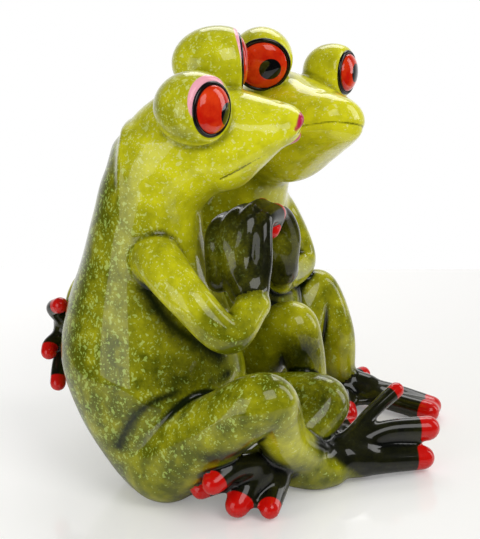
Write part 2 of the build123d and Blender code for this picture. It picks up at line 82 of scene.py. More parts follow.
# The table: half its width, its underside, and its top, which lies just clear of the frogs
table_half = 150.0
table_under = -8.0
table_top = -0.02
# How much the table's middle glows to the camera, and how much less its right edge does
table_glow = 0.20
glow_fall = 0.17

# Where each frog's middle stands, and its height
lady_middle = (-25.54, 2.25)
lady_height = 88.0
gent_middle = (19.46, 2.25)
gent_height = 86.0

# Torsos: half width and half depth, then outlines as shares: height, back, half width and half depth
lady_torso_size = (23.5, 25.5)
gent_torso_size = (23.2, 24.0)
lady_torso_outlines = [
    (0.00, 0.39, 0.60, 0.47),
    (0.09, 0.42, 0.84, 0.66),
    (0.23, 0.52, 0.97, 0.89),
    (0.38, 0.62, 0.98, 0.99),
    (0.55, 0.67, 0.87, 0.88),
    (0.70, 0.69, 0.75, 0.69),
    (0.86, 0.66, 0.63, 0.57),
    (0.97, 0.58, 0.55, 0.55),
    (1.06, 0.51, 0.46, 0.46),
    (1.14, 0.48, 0.10, 0.10),
]
gent_torso_outlines = [
    (0.00, 0.42, 0.64, 0.50),
    (0.09, 0.52, 0.90, 0.78),
    (0.23, 0.62, 1.00, 0.97),
    (0.38, 0.67, 0.96, 1.00),
    (0.56, 0.67, 0.87, 0.88),
    (0.72, 0.56, 0.76, 0.70),
    (0.86, 0.36, 0.60, 0.56),
    (0.97, 0.16, 0.50, 0.48),
    (1.05, 0.04, 0.34, 0.34),
    (1.10, 0.02, 0.10, 0.10),
]

# Heads: length, half width and half height, then outlines as shares: ahead, up, half width, half height
lady_head_size = (45.0, 15.0, 13.5)
gent_head_size = (39.0, 15.5, 13.5)
lady_head_outlines = [
    (-0.40, -0.36, 0.03, 0.03),
    (-0.36, -0.32, 0.40, 0.42),
    (-0.27, -0.31, 0.73, 0.74),
    (-0.09, -0.25, 0.97, 1.00),
    (0.11, -0.26, 1.00, 1.04),
    (0.27, -0.26, 0.90, 0.93),
    (0.42, -0.12, 0.70, 0.64),
    (0.54, 0.00, 0.50, 0.40),
    (0.61, 0.04, 0.38, 0.28),
    (0.64, 0.05, 0.25, 0.19),
    (0.66, 0.05, 0.02, 0.02),
]
gent_head_outlines = [
    (-0.37, -0.13, 0.03, 0.03),
    (-0.33, -0.15, 0.45, 0.48),
    (-0.23, -0.19, 0.74, 0.78),
    (-0.05, -0.31, 0.97, 1.11),
    (0.13, -0.36, 1.00, 1.09),
    (0.31, -0.27, 0.92, 0.86),
    (0.47, -0.20, 0.78, 0.66),
    (0.61, -0.16, 0.58, 0.50),
    (0.69, -0.14, 0.40, 0.36),
    (0.725, -0.13, 0.20, 0.18),
    (0.745, -0.13, 0.02, 0.02),
]
# Each head's middle as shares of the frog's height, and its turn, lift and tip in degrees
lady_head_middle = (0.033, 0.059, 1.135)
gent_head_middle = (-0.022, -0.052, 1.108)
lady_head_turn = (10, 5, 17)
gent_head_turn = (-28, 10, -16)

# Eyes: across, up and ahead as shares of the head's half width, the look aside and up, the lid's
# radius, its length, and how far its flat front stands before its middle as a share of that length
eye_settings = {
    "lady_right_eye": ((-0.711, 0.848, 0.34), (-26.0, 10.5), (9.6, 11.3, 0.52)),
    "lady_left_eye": ((0.915, 0.763, 0.39), (17.9, -8.9), (9.6, 12.0, 0.48)),
    "gent_right_eye": ((-0.847, 0.817, 0.276), (-32.0, -24.0), (8.5, 9.4, 0.48)),
    "gent_left_eye": ((0.786, 0.78, 0.313), (25.8, 0.8), (7.8, 8.6, 0.48)),
}
# Pupils: how far each lies to the frog's left and up from the middle of its eye, and its radius
pupils = {
    "lady_right_eye": (2.9, -2.8, 2.9),
    "lady_left_eye": (2.0, 0.0, 2.7),
    "gent_right_eye": (1.9, -0.2, 3.0),
    "gent_left_eye": (0.8, 0.1, 2.6),
}
# Each red dome's radius, how far a dome bulges out, and how deep it goes into its lid
dome_radii = {
    "lady_right_eye": 6.3,
    "lady_left_eye": 6.6,
    "gent_right_eye": 6.7,
    "gent_left_eye": 5.3,
}
dome_bulge = 2.6
dome_plug = 2.0
# How many steps a dome's outline has, and how much of its radius the iris takes up
dome_steps = 15
iris_share = 0.97
# The wire of the ring round a dome, and how far outside the dome its middle lies
ring_wire = 0.55
ring_gap = 0.35
# How many parts there are along a ring and round its wire
ring_parts = 96
wire_parts = 24
# The hole for a dome, as a share of its lid's radius
eye_hole = 0.75

# Mouths and lips on the head: across, up and ahead as shares of its half width, half height and length,
# from the middle to the frog's left, and the same to its right
lady_mouth = [
    (0.0, -0.08, 0.65),
    (0.35, -0.10, 0.61),
    (0.52, -0.19, 0.52),
    (0.75, -0.33, 0.37),
    (0.90, -0.53, 0.21),
]
gent_mouth = [
    (0.0, -0.18, 0.735),
    (0.35, -0.20, 0.70),
    (0.57, -0.28, 0.61),
    (0.71, -0.37, 0.50),
    (0.80, -0.42, 0.42),
]
# The radius of the groove along a mouth, and of the line painted in it
mouth_groove = 0.45
mouth_line = 0.35
# How many parts the painted line has from one place to the next
mouth_parts = 14
# Lips: the radius and the path of each, and its share of that radius at its corners and its middle
upper_lip = (1.35, [(0.0, 0.13, 0.645), (0.22, 0.09, 0.62)])
lower_lip = (1.70, [(0.0, -0.21, 0.605), (0.18, -0.19, 0.585)])
lip_shares = (0.8, 1.0, 0.8)
# Nostrils: their radius, and the place of the left one in the same shares
nostril = 0.8
lady_nostril = (0.26, 0.37, 0.52)
gent_nostril = (0.26, 0.40, 0.50)

# Arms and legs: the radius of each kind, and paths that go across, back and up as shares of the frog's
# height, with a share of that radius at each place
lady_arm = 7.0
gent_arm = 6.0
lady_leg = 12.5
gent_leg = 10.0
limb_paths = {
    "lady_right_arm": (
        lady_arm,
        [
            (-0.067, 0.154, 0.75, 0.9),
            (-0.159, 0.081, 0.77, 0.93),
            (-0.238, -0.047, 0.705, 0.80),
            (-0.22, -0.165, 0.60, 0.72),
            (-0.09, -0.195, 0.655, 0.62),
        ],
    ),
    "lady_left_arm": (
        lady_arm,
        [
            (0.10, 0.20, 0.77, 0.95),
            (0.20, 0.33, 0.80, 0.85),
            (0.33, 0.415, 0.79, 0.72),
            (0.46, 0.40, 0.76, 0.6),
        ],
    ),
    "gent_left_arm": (
        gent_arm,
        [
            (0.06, 0.06, 0.77, 0.92),
            (0.120, 0.011, 0.713, 0.77),
            (0.166, -0.048, 0.537, 0.67),
            (-0.075, -0.079, 0.548, 0.58),
            (-0.235, -0.13, 0.61, 0.58),
        ],
    ),
    "gent_right_arm": (
        gent_arm,
        [
            (-0.09, 0.22, 0.76, 0.95),
            (-0.22, 0.405, 0.66, 0.85),
            (-0.36, 0.497, 0.535, 0.72),
            (-0.41, 0.508, 0.455, 0.64),
        ],
    ),
    "lady_right_leg": (
        lady_leg,
        [
            (-0.15, 0.07, 0.126, 0.90),
            (-0.216, -0.155, 0.317, 0.72),
            (-0.216, -0.289, 0.408, 0.60),
            (-0.06, -0.28, 0.225, 0.53),
            (0.135, -0.315, 0.07, 0.40),
        ],
    ),
    "lady_left_leg": (
        lady_leg,
        [
            (0.11, 0.10, 0.165, 0.9),
            (0.17, -0.04, 0.185, 0.8),
            (0.24, -0.29, 0.228, 0.58),
            (0.08, -0.25, 0.145, 0.44),
            (-0.01, -0.20, 0.11, 0.42),
        ],
    ),
    "gent_right_leg": (
        gent_leg,
        [
            (-0.09, 0.09, 0.17, 1.0),
            (-0.166, -0.127, 0.428, 0.69),
            (-0.160, -0.180, 0.351, 0.60),
            (-0.15, -0.215, 0.10, 0.45),
        ],
    ),
    "gent_left_leg": (
        gent_leg,
        [
            (0.116, -0.025, 0.295, 0.95),
            (0.203, -0.090, 0.428, 0.54),
            (0.224, -0.143, 0.27, 0.60),
            (0.233, -0.166, 0.10, 0.44),
        ],
    ),
}

# The underside of the lady's right shin, down on the table: its radius and its path
shin_rest = 5.3
shin_rest_path = [
    (0.116, -0.214, 0.06),
    (0.09, -0.258, 0.06),
    (0.10, -0.318, 0.058),
    (0.14, -0.358, 0.058),
]

# Hands: the radius of palms and fingertips, then a palm's path, and fingers from the wrist to the tip
lady_palm = 5.4
gent_palm = 4.6
lady_finger = 2.75
gent_finger = 2.3
hand_paths = {
    "lady_right_hand": (
        lady_palm,
        [(-0.055, -0.16, 0.685), (-0.022, -0.12, 0.736), (0.0, -0.09, 0.794)],
        [
            [(-0.048, -0.063, 0.699), (0.0, -0.033, 0.822), (0.10, -0.042, 0.843), (0.17, -0.046, 0.80)],
            [(-0.05, -0.115, 0.715), (0.0, -0.083, 0.851), (0.10, -0.092, 0.871), (0.178, -0.095, 0.82)],
            [(-0.034, -0.132, 0.761), (0.01, -0.131, 0.872), (0.10, -0.135, 0.89), (0.172, -0.134, 0.84)],
            [(-0.051, -0.185, 0.70), (-0.026, -0.192, 0.77), (0.02, -0.18, 0.87), (0.131, -0.173, 0.868)],
        ],
    ),
    "lady_left_hand": (
        lady_palm,
        [(0.50, 0.39, 0.75), (0.60, 0.365, 0.72)],
        [
            [(0.60, 0.365, 0.74), (0.70, 0.32, 0.77), (0.76, 0.26, 0.76)],
            [(0.60, 0.365, 0.72), (0.72, 0.33, 0.69), (0.78, 0.27, 0.67)],
            [(0.60, 0.365, 0.70), (0.69, 0.36, 0.63), (0.75, 0.31, 0.58)],
        ],
    ),
    "gent_left_hand": (
        gent_palm,
        [(-0.27, -0.15, 0.66), (-0.29, -0.15, 0.74), (-0.28, -0.14, 0.81)],
        [
            [
                (-0.292, -0.175, 0.68),
                (-0.295, -0.192, 0.79),
                (-0.345, -0.18, 0.875),
                (-0.432, -0.178, 0.845),
            ],
            [(-0.303, -0.129, 0.783), (-0.307, -0.117, 0.855), (-0.348, -0.113, 0.89)],
        ],
    ),
    "gent_right_hand": (
        gent_palm,
        [(-0.42, 0.53, 0.44), (-0.43, 0.525, 0.38)],
        [
            [(-0.43, 0.53, 0.44), (-0.49, 0.55, 0.50), (-0.523, 0.51, 0.53)],
            [(-0.43, 0.53, 0.40), (-0.50, 0.56, 0.38), (-0.523, 0.556, 0.362)],
            [(-0.43, 0.53, 0.38), (-0.48, 0.54, 0.31), (-0.523, 0.526, 0.258)],
        ],
    ),
}

# How thick a finger is at its three or four places, as shares of its tip's radius
finger_shares = {3: (1.25, 0.95, 1.0), 4: (1.25, 1.05, 0.9, 1.0)}

# Feet: the radius of soles, then a sole's path, and toes from the ankle to the round tip with their radii
lady_sole = 5.0
gent_sole = 4.2
# How many parts a toe's line has from one of its places to the next
toe_parts = 8
# Webs between toes: half their thickness, how far out each goes, and the bars that make one
web_half = 1.2
web_reach = (0.6, 0.92, 0.6)
web_bars = 24
foot_paths = {
    "lady_right_foot": (
        lady_sole,
        [(0.14, -0.32, 0.075), (0.19, -0.385, 0.08), (0.225, -0.42, 0.07)],
        [
            [
                (0.15, -0.333, 0.089, 3.4),
                (0.227, -0.385, 0.125, 2.6),
                (0.328, -0.419, 0.175, 2.1),
                (0.433, -0.465, 0.221, 2.3),
            ],
            [
                (0.17, -0.33, 0.08, 4.2),
                (0.235, -0.40, 0.10, 3.6),
                (0.31, -0.477, 0.132, 3.0),
                (0.396, -0.585, 0.125, 3.5),
            ],
            [
                (0.16, -0.33, 0.06, 4.6),
                (0.20, -0.405, 0.06, 4.5),
                (0.272, -0.489, 0.052, 3.9),
                (0.35, -0.588, 0.043, 3.3),
            ],
        ],
    ),
    "lady_left_foot": (
        lady_sole,
        [(-0.02, -0.225, 0.10), (-0.04, -0.234, 0.10), (-0.095, -0.19, 0.12)],
        [
            [(-0.10, -0.206, 0.145, 4.0), (-0.189, -0.169, 0.162, 3.6), (-0.265, -0.136, 0.137, 3.0)],
            [(-0.10, -0.215, 0.109, 4.2), (-0.143, -0.195, 0.084, 3.8), (-0.195, -0.186, 0.045, 3.4)],
            [(-0.055, -0.25, 0.083, 4.2), (-0.09, -0.26, 0.06, 3.5), (-0.164, -0.278, 0.035, 2.7)],
            [(-0.106, -0.163, 0.112, 3.9), (-0.177, -0.127, 0.106, 3.0), (-0.210, -0.072, 0.081, 2.6)],
        ],
    ),
    "gent_right_foot": (
        gent_sole,
        [(-0.15, -0.21, 0.08), (-0.13, -0.26, 0.06)],
        [
            [(-0.15, -0.24, 0.05, 3.8), (-0.16, -0.30, 0.05, 2.9), (-0.165, -0.375, 0.032, 3.1)],
            [(-0.15, -0.24, 0.05, 3.8), (-0.105, -0.29, 0.05, 2.9), (-0.07, -0.355, 0.032, 3.1)],
            [(-0.15, -0.24, 0.05, 3.8), (-0.07, -0.25, 0.05, 2.9), (0.0, -0.29, 0.032, 3.1)],
        ],
    ),
    "gent_left_foot": (
        gent_sole,
        [(0.235, -0.17, 0.09), (0.25, -0.25, 0.07)],
        [
            [(0.24, -0.17, 0.065, 3.4), (0.30, -0.185, 0.07, 2.4), (0.366, -0.20, 0.065, 2.5)],
            [(0.24, -0.17, 0.065, 3.8), (0.265, -0.33, 0.06, 2.9), (0.262, -0.488, 0.035, 3.0)],
            [(0.24, -0.17, 0.065, 3.8), (0.225, -0.33, 0.05, 2.9), (0.215, -0.495, 0.034, 3.1)],
            [(0.24, -0.17, 0.065, 3.8), (0.16, -0.21, 0.05, 2.9), (0.095, -0.245, 0.032, 3.1)],
        ],
    ),
}

# How softly the forms of one piece join or are cut
softness = {
    "mouth": 0.5,
    "nostril": 0.6,
    "eye_hole": 0.4,
    "lid": 1.2,
    "lid_front": 0.8,
    "lip": 0.5,
    "shin": 4.0,
    "finger": 1.2,
    "toe": 1.6,
}
# How softly each head grows out of its body round a place, and how far that softness goes
head_roots = {
    "lady_head": ((0.0, 0.20, 1.0), 12.0, 26.0),
    "gent_head": ((0.0, 0.05, 1.0), 7.0, 22.0),
}
# The same at the root of a limb, hand or foot, where the distance is a share of the radius
limb_roots = {"arm": (5.0, 1.6), "leg": (4.0, 1.6), "hand": (2.5, 1.2), "foot": (3.0, 1.5)}
# How softly the pieces meet anywhere else
crease = 0.5

# Paints, as red, green and blue from 0 to 255
paints = {
    "lady_pale": (222, 220, 28),
    "gent_pale": (222, 218, 28),
    "olive": (92, 98, 0),
    # Dark green for folds and sprays, partly airbrushed glaze and partly painted shade
    "deep_green_and_shade": (18, 27, 3),
    "fleck_on_pale": (240, 240, 150),
    "fleck_on_olive": (178, 206, 98),
    "black": (9, 11, 9),
    "pink": (250, 176, 190),
    "crimson": (186, 34, 74),
    "red": (208, 16, 8),
    "mouth_brown": (120, 120, 10),
    "iris_dark": (196, 20, 6),
    "iris_light": (232, 66, 20),
    "iris_rim": (14, 13, 14),
    "pupil": (10, 10, 13),
    "eye_ring": (12, 12, 13),
    "table": (238, 237, 235),
}
# Half the width over which one paint gives way to the next, on the skin and on the eyes
paint_edge = 0.14
eye_paint_edge = 0.1

# How olive the bodies are, from 0 for pale to 1: low down, how much less high up, how much more
# on what faces back low down and high up, and the heights between which that changes. Over the glaze's
# own pale and olive, the paler glaze high up is painted light, and the extra olive on what faces back is
# painted shade
body_olive = 0.87
olive_off_high = 0.18
shade_behind_low = 0.06
shade_behind_high = 0.44
body_heights = (30, 85)
# How olive the faces are, how much more on what faces back as painted shade, and how far down a face fades
# into the body
face_olive = 0.12
face_shade_behind = 0.20
face_fade = (2.0, 21.0)
# The way that a face fades along, as shares of its head's ahead and up directions
face_fade_way = (0.6, 0.8)
# What the lids add, fading between these shares of a lid's radius
lid_olive = {"lady": 0.28, "gent": 0.10}
lid_fade = (1.05, 1.35)
# How olive the arms are, and each frog's other pieces
arm_olive = 0.60
rest_olive = {"lady": 0.80, "gent": 0.68}
# Sprays of painted light and shade that make it more or less olive, paler where light falls and more olive
# where shade falls: the middle across, back and up, the radius, and what each adds
light_and_shade_sprays = {
    "lady": {
        "shin": ((-0.118, -0.323, 0.245), 10.0, -0.55),
        "upper_arm": ((-0.222, -0.022, 0.768), 9.0, -0.35),
        "elbow": ((-0.267, -0.186, 0.612), 8.0, 0.40),
        "thigh": ((-0.368, 0.021, 0.247), 13.0, 0.10),
        "side": ((-0.162, -0.036, 0.639), 9.0, -0.45),
    },
    "gent": {"right_knee": ((-0.189, -0.181, 0.471), 8.0, -0.30)},
}
# Dark green in the folds, partly airbrushed glaze and partly painted shade: how wide the clay is blurred
# to find them, how full it is where the dark starts and where it is full, how dark that is, and how much
# of that a head gets
shaded_folds = {"tight": (2.0, 0.52, 0.62, 1.0), "wide": (4.5, 0.54, 0.78, 0.7)}
head_fold_shade = 0.35
# Sprayed dark green, partly airbrushed glaze and partly painted shade under arms, chin and thighs and
# between
# legs: its radius, its strength, the endings of the pieces that it lies on, and its path
deep_shade_strokes = {
    "lady": {
        "under_arm": (
            3.2,
            1.0,
            ("torso",),
            [(-0.186, 0.115, 0.69), (-0.177, 0.06, 0.615), (-0.155, 0.01, 0.555), (-0.075, -0.075, 0.47)],
        ),
        "along_thigh": (
            1.7,
            1.0,
            ("torso", "leg"),
            [(-0.252, 0.18, 0.20), (-0.26, 0.12, 0.31), (-0.225, 0.035, 0.375), (-0.058, -0.096, 0.405)],
        ),
        "over_crossing_foot": (
            3.0,
            0.95,
            ("leg",),
            [
                (-0.297, -0.138, 0.232),
                (-0.24, -0.238, 0.259),
                (-0.141, -0.25, 0.21),
                (-0.075, -0.281, 0.137),
            ],
        ),
        "behind_shoulder": (
            1.5,
            0.45,
            ("torso",),
            [(-0.169, 0.147, 0.835), (-0.156, 0.111, 0.848), (-0.135, 0.072, 0.844), (-0.104, 0.051, 0.824)],
        ),
        "belly": (5.5, 0.50, ("torso",), [(-0.175, -0.02, 0.425), (-0.215, 0.035, 0.42)]),
        "left_knee": (12.0, 0.52, ("left_leg",), [(0.168, -0.315, 0.273), (0.288, -0.28, 0.186)]),
        "throat": (7.0, 0.45, ("torso",), [(0.01, -0.09, 0.619), (0.01, -0.08, 0.60)]),
    },
    "gent": {"right_shin": (6.0, 1.0, ("leg",), [(-0.219, -0.205, 0.37), (-0.21, -0.19, 0.34)])},
}
# Black on hands and feet, and sprayed over the end of an arm or leg that far from the hand or foot
black_full = 0.97
black_on_limb = 0.9
black_over = {"arm": (-1.0, 3.0), "leg": (-1.0, 3.5)}
# The black starts this far round a hand's or foot's root, as shares of its radius
black_root = (-0.5, 1.3)
# Where the black of a hand is thin and the olive shows through: the place, the radius, the amount
thin_black = {
    "lady_right_hand": ((-0.071, -0.083, 0.788), 6.5, 0.42),
    "gent_left_hand": ((-0.334, -0.172, 0.772), 5.0, 0.50),
}
# On the lady's right foot the black starts past a place, along these shares of the picture's right and
# up, over this half width, and ends on the leg that far from the foot
shin_black_start = (0.120, -0.307, 0.133)
shin_black_way = (0.58, 0.81)
shin_black_edge = 1.3
shin_black_end = (7, 11)
# How far red goes round a finger's or toe's tip, as a share of its radius, and on the lady's right hand
red_share = 1.25
clasped_red_share = 1.0
# How far crimson goes round the lips, as a share of their radius
lip_paint_share = 1.1
# The pink above the lady's eyes: how wide it is at most, what is taken off that all round, where round
# the eye it is widest, how fast it narrows, and how far it comes forward and out on the lid
pink_width = 1.6
pink_cut = 0.3
pink_middle = 86
pink_narrowing = 1.1
pink_forward = 0.6
pink_out_share = 1.05
# Flecks: the noise's scale and level, how far a level rises to a whole fleck, what cover and patches
# take off the level, the two sizes of fleck as shares of the scale, and that of the patches
fleck_scale = 560.0
fleck_level = 0.80
fleck_rise = 0.03
fleck_cover_share = 0.11
fleck_patch_share = 0.2
fleck_sizes = (1.25, 2.6)
patch_size = 0.2
# How strongly flecks hide the glaze under them, and how thickly each frog is flecked
fleck_strength = 0.6
flecked = {"lady": 0.85, "gent": 0.5}
# How thick flecks are on bodies and heads and on the rest, and how much thinner near the table
body_flecks = 0.75
limb_flecks = 0.55
low_flecks = 0.5
low_fleck_heights = (4.0, 20.0)
# Flecks thicken between these measures of how far a face looks back, and this much to the frog's right:
# from the front's share by the back's, and by the top's on what faces up
fleck_back = (-0.9, 0.7)
fleck_right_share = 0.3
fleck_front_share = 0.35
fleck_back_share = 0.75
fleck_top_share = 0.3
# Sprayed edges: the scales of their fine and coarse drops, and how strongly drops move the edge
fine_drops = 1500.0
coarse_drops = 220.0
drop_strength = 8.0
# How long the glaze's waves are on the frogs and in the eyes, and how much a fleck stands out of them
glaze_wave = 5.0
eye_wave = 3.0
fleck_height = 0.15
# The glaze's mottling: the noise's scale and how strongly it moves the tone
mottle_scale = 170.0
mottle_strength = 1.35


# Places and planes


def spot(name, shares):
    """A place on a frog, from its shares of that frog's height."""
    middle, height = (lady_middle, lady_height) if name.startswith("lady") else (gent_middle, gent_height)
    across, back, up = shares[:3]
    return np.array([middle[0] + across * height, middle[1] + back * height, up * height])


def face_plane(place, turn, lift, tip):
    """A face's middle, side, up and ahead directions."""
    turn, lift, tip = (math.radians(angle) for angle in (turn, lift, tip))
    level = np.array([math.cos(turn), math.sin(turn), 0.0])
    straight = np.array([math.sin(turn), -math.cos(turn), 0.0])
    ahead = straight * math.cos(lift) + np.array([0.0, 0.0, 1.0]) * math.sin(lift)
    side = level * math.cos(tip) + np.cross(ahead, level) * math.sin(tip)
    return place, side, np.cross(ahead, side), ahead


def on_plane(plane, across, up, ahead):
    """A place given along a plane's own three directions."""
    return plane[0] + plane[1] * across + plane[2] * up + plane[3] * ahead


def eye_front(plane, half_width, shares, look, lid):
    """The plane of an eye's flat front, whose last direction is the way the eye looks."""
    aside, lift = (math.radians(angle) for angle in look)
    middle = on_plane(plane, *(share * half_width for share in shares))
    level = plane[3] * math.cos(aside) + plane[1] * math.sin(aside)
    gaze = level * math.cos(lift) + plane[2] * math.sin(lift)
    side = np.cross(plane[2], gaze)
    side = side / np.linalg.norm(side)
    return middle + gaze * (lid[2] * lid[1]), side, np.cross(gaze, side), gaze


def view_directions():
    """The way back to the camera, the picture's right and its up."""
    turn, lift = math.radians(camera_turn), math.radians(camera_lift)
    back = np.array([math.sin(turn) * math.cos(lift), -math.cos(turn) * math.cos(lift), math.sin(lift)])
    right = np.array([math.cos(turn), math.sin(turn), 0.0])
    return back, right, np.cross(back, right)


lady_face = face_plane(spot("lady", lady_head_middle), *lady_head_turn)
gent_face = face_plane(spot("gent", gent_head_middle), *gent_head_turn)
eye_fronts = {}
for name, (shares, look, lid) in eye_settings.items():
    face, size = (lady_face, lady_head_size) if name.startswith("lady") else (gent_face, gent_head_size)
    eye_fronts[name] = (eye_front(face, size[1], shares, look, lid), lid)


# The grid that the clay is measured on

# It reaches three grains past the CAD box, and the table's level lies between two rows of its points
low_corner = np.array(cad_box[0]) / MM - 3 * grain
high_corner = np.array(cad_box[1]) / MM + 3 * grain
low_corner[2] = -3.5 * grain
grid_size = np.ceil((high_corner - low_corner) / grain).astype(int) + 1
grid_lines = [low_corner[axis] + grain * np.arange(grid_size[axis]) for axis in range(3)]


def cells_round(low, high):
    """The part of the grid between two corners, as three slices."""
    first = np.clip(np.floor((low - low_corner) / grain).astype(int), 0, grid_size - 1)
    last = np.clip(np.ceil((high - low_corner) / grain).astype(int) + 1, 1, grid_size)
    return tuple(slice(a, b) for a, b in zip(first, last))


def points_in(cells):
    """The three coordinates of the grid's points in those cells, ready to broadcast."""
    x, y, z = (grid_lines[axis][cells[axis]].astype(np.float32) for axis in range(3))
    return x[:, None, None], y[None, :, None], z[None, None, :]


def joined(first, second, blend):
    """The union of two forms, filled out where they meet within blend."""
    overlap = np.maximum(blend - np.abs(first - second), 0) / np.maximum(blend, 1e-6)
    return np.minimum(first, second) - overlap * overlap * blend / 4


def carved(first, second, blend):
    """The first form less the second, with an eased edge."""
    return -joined(-first, second, blend)


# Forms: each is its lowest corner, its highest corner and its distance function


def run(start, end, start_radius, end_radius):
    """A round bar between two places."""
    line = end - start
    length = max(float(np.linalg.norm(line)), 1e-6)
    along = line / length

    def distance(x, y, z):
        ox, oy, oz = x - start[0], y - start[1], z - start[2]
        share = np.clip((ox * along[0] + oy * along[1] + oz * along[2]) / length, 0, 1)
        dx, dy, dz = ox - share * line[0], oy - share * line[1], oz - share * line[2]
        return np.sqrt(dx * dx + dy * dy + dz * dz) - (start_radius + share * (end_radius - start_radius))

    widest = max(start_radius, end_radius)
    return np.minimum(start, end) - widest, np.maximum(start, end) + widest, distance


def egg(plane, radii):
    """An egg round a plane's middle, with its three radii along the plane's directions."""
    middle, *directions = plane

    def distance(x, y, z):
        ox, oy, oz = x - middle[0], y - middle[1], z - middle[2]
        near, steep = 0, 0
        for way, radius in zip(directions, radii):
            share = (ox * way[0] + oy * way[1] + oz * way[2]) / radius
            near = near + share * share
            steep = steep + share * share / (radius * radius)
        near, steep = np.sqrt(near), np.sqrt(steep)
        return near * (near - 1) / np.maximum(steep, 1e-6)

    widest = np.sqrt(sum((way * radius) ** 2 for way, radius in zip(directions, radii)))
    return middle - widest, middle + widest, distance


def eased(stations, values, at):
    """Values between stations along a smooth curve that passes through each of them."""
    stations, values = np.asarray(stations, float), np.asarray(values, float)
    slopes = np.gradient(values, stations)
    at = np.clip(at, stations[0], stations[-1])
    left = np.clip(np.searchsorted(stations, at) - 1, 0, len(stations) - 2)
    width = stations[left + 1] - stations[left]
    t = (at - stations[left]) / width
    a, b = values[left], values[left + 1]
    return (
        (1 + 2 * t) * (1 - t) ** 2 * a
        + t * t * (3 - 2 * t) * b
        + width * (t * (1 - t) ** 2 * slopes[left] - t * t * (1 - t) * slopes[left + 1])
    )


def loft(plane, stations, ups, half_widths, half_heights):
    """A body through upright oval outlines at stations along a plane's last direction."""
    middle, side, up, ahead = plane
    least_square, gentlest, steepest, margin = 0.01, 0.7, 6, 12

    def distance(x, y, z):
        ox, oy, oz = x - middle[0], y - middle[1], z - middle[2]
        along = ox * ahead[0] + oy * ahead[1] + oz * ahead[2]
        width = np.sqrt(np.maximum(eased(stations, np.square(half_widths), along), least_square))
        height = np.sqrt(np.maximum(eased(stations, np.square(half_heights), along), least_square))
        across = ox * side[0] + oy * side[1] + oz * side[2]
        above = ox * up[0] + oy * up[1] + oz * up[2] - eased(stations, ups, along)
        near = np.sqrt((across / width) ** 2 + (above / height) ** 2)
        steep = np.sqrt((across / width**2) ** 2 + (above / height**2) ** 2)
        past = np.maximum(along - stations[-1], 0) + np.maximum(stations[0] - along, 0)
        rough = near * (near - 1) / np.maximum(steep, 1e-4) + past
        slopes = np.gradient(rough, grain)
        return rough / np.clip(np.sqrt(sum(slope * slope for slope in slopes)), gentlest, steepest)

    widest = max(max(half_widths), max(half_heights)) + margin
    ends = [middle + ahead * stations[0], middle + ahead * stations[-1]]
    return np.minimum(*ends) - widest, np.maximum(*ends) + widest, distance


def smooth_path(places, parts=12):
    """A smooth line through places that may carry a radius too."""
    places = np.asarray(places, float)
    padded = np.vstack([2 * places[0] - places[1], places, 2 * places[-1] - places[-2]])
    line = []
    for a, b, c, d in zip(padded, padded[1:], padded[2:], padded[3:]):
        bend, twist = 2 * a - 5 * b + 4 * c - d, 3 * b - a - 3 * c + d
        for t in np.arange(parts) / parts:
            line.append(0.5 * (2 * b + (c - a) * t + bend * t**2 + twist * t**3))
    line.append(places[-1])
    return np.array(line)


def bars(line):
    """Round bars from each place of a line to the next, each place with its radius."""
    return [run(a[:3], b[:3], a[3], b[3]) for a, b in zip(line, line[1:])]


def tube(places):
    """Round bars along a smooth line through places with their radii."""
    return bars(smooth_path(places))


class Clay:
    """The distance to the skin of a growing lump, on the part of the grid round it."""

    def __init__(self, forms):
        self.cells, self.far = self.measure(forms)

    @staticmethod
    def measure(forms):
        """The distance to the nearest of some forms, on the cells round them."""
        low = np.min([form[0] for form in forms], axis=0) - reach
        high = np.max([form[1] for form in forms], axis=0) + reach
        cells = cells_round(low, high)
        far = np.full([part.stop - part.start for part in cells], reach, np.float32)
        for form_low, form_high, distance in forms:
            near = cells_round(form_low - reach, form_high + reach)
            local = tuple(slice(n.start - c.start, n.stop - c.start) for n, c in zip(near, cells))
            far[local] = np.minimum(far[local], distance(*points_in(near)))
        return cells, far

    def add(self, forms, blend):
        """Join more forms, filled out where they meet."""
        cells, far = self.measure(forms)
        starts = [min(mine.start, other.start) for mine, other in zip(self.cells, cells)]
        stops = [max(mine.stop, other.stop) for mine, other in zip(self.cells, cells)]
        wide = np.full([b - a for a, b in zip(starts, stops)], reach, np.float32)
        for part, values in ((self.cells, self.far), (cells, far)):
            local = tuple(slice(p.start - a, p.stop - a) for p, a in zip(part, starts))
            wide[local] = values if part is self.cells else joined(wide[local], values, blend)
        self.cells, self.far = tuple(slice(a, b) for a, b in zip(starts, stops)), wide

    def carve(self, forms, blend):
        """Cut forms away."""
        cells, far = self.measure(forms)
        starts = [max(mine.start, other.start) for mine, other in zip(self.cells, cells)]
        stops = [min(mine.stop, other.stop) for mine, other in zip(self.cells, cells)]
        mine = tuple(slice(a - m.start, b - m.start) for a, b, m in zip(starts, stops, self.cells))
        other = tuple(slice(a - o.start, b - o.start) for a, b, o in zip(starts, stops, cells))
        self.far[mine] = carved(self.far[mine], far[other], blend)


def drill(plane, radius, ahead):
    """A round hole forward from a plane."""
    middle, gaze = plane[0], plane[3]

    def distance(x, y, z):
        ox, oy, oz = x - middle[0], y - middle[1], z - middle[2]
        along = ox * gaze[0] + oy * gaze[1] + oz * gaze[2]
        out = np.sqrt(np.maximum(ox * ox + oy * oy + oz * oz - along * along, 0))
        return np.maximum(out - radius, np.abs(along - ahead / 2) - ahead / 2)

    return middle - radius - ahead, middle + radius + ahead, distance


def lid_form(plane, lid):
    """An egg-shaped lid with a flat front."""
    radius, length, share = lid
    middle, side, up, gaze = plane
    low, high, egg_distance = egg((middle - gaze * length * share, side, up, gaze), (radius, radius, length))

    def distance(x, y, z):
        front = (x - middle[0]) * gaze[0] + (y - middle[1]) * gaze[1] + (z - middle[2]) * gaze[2]
        return carved(egg_distance(x, y, z), -front, softness["lid_front"])

    return low, high, distance


# The clay of each piece

clays = {}
digit_tips = {}


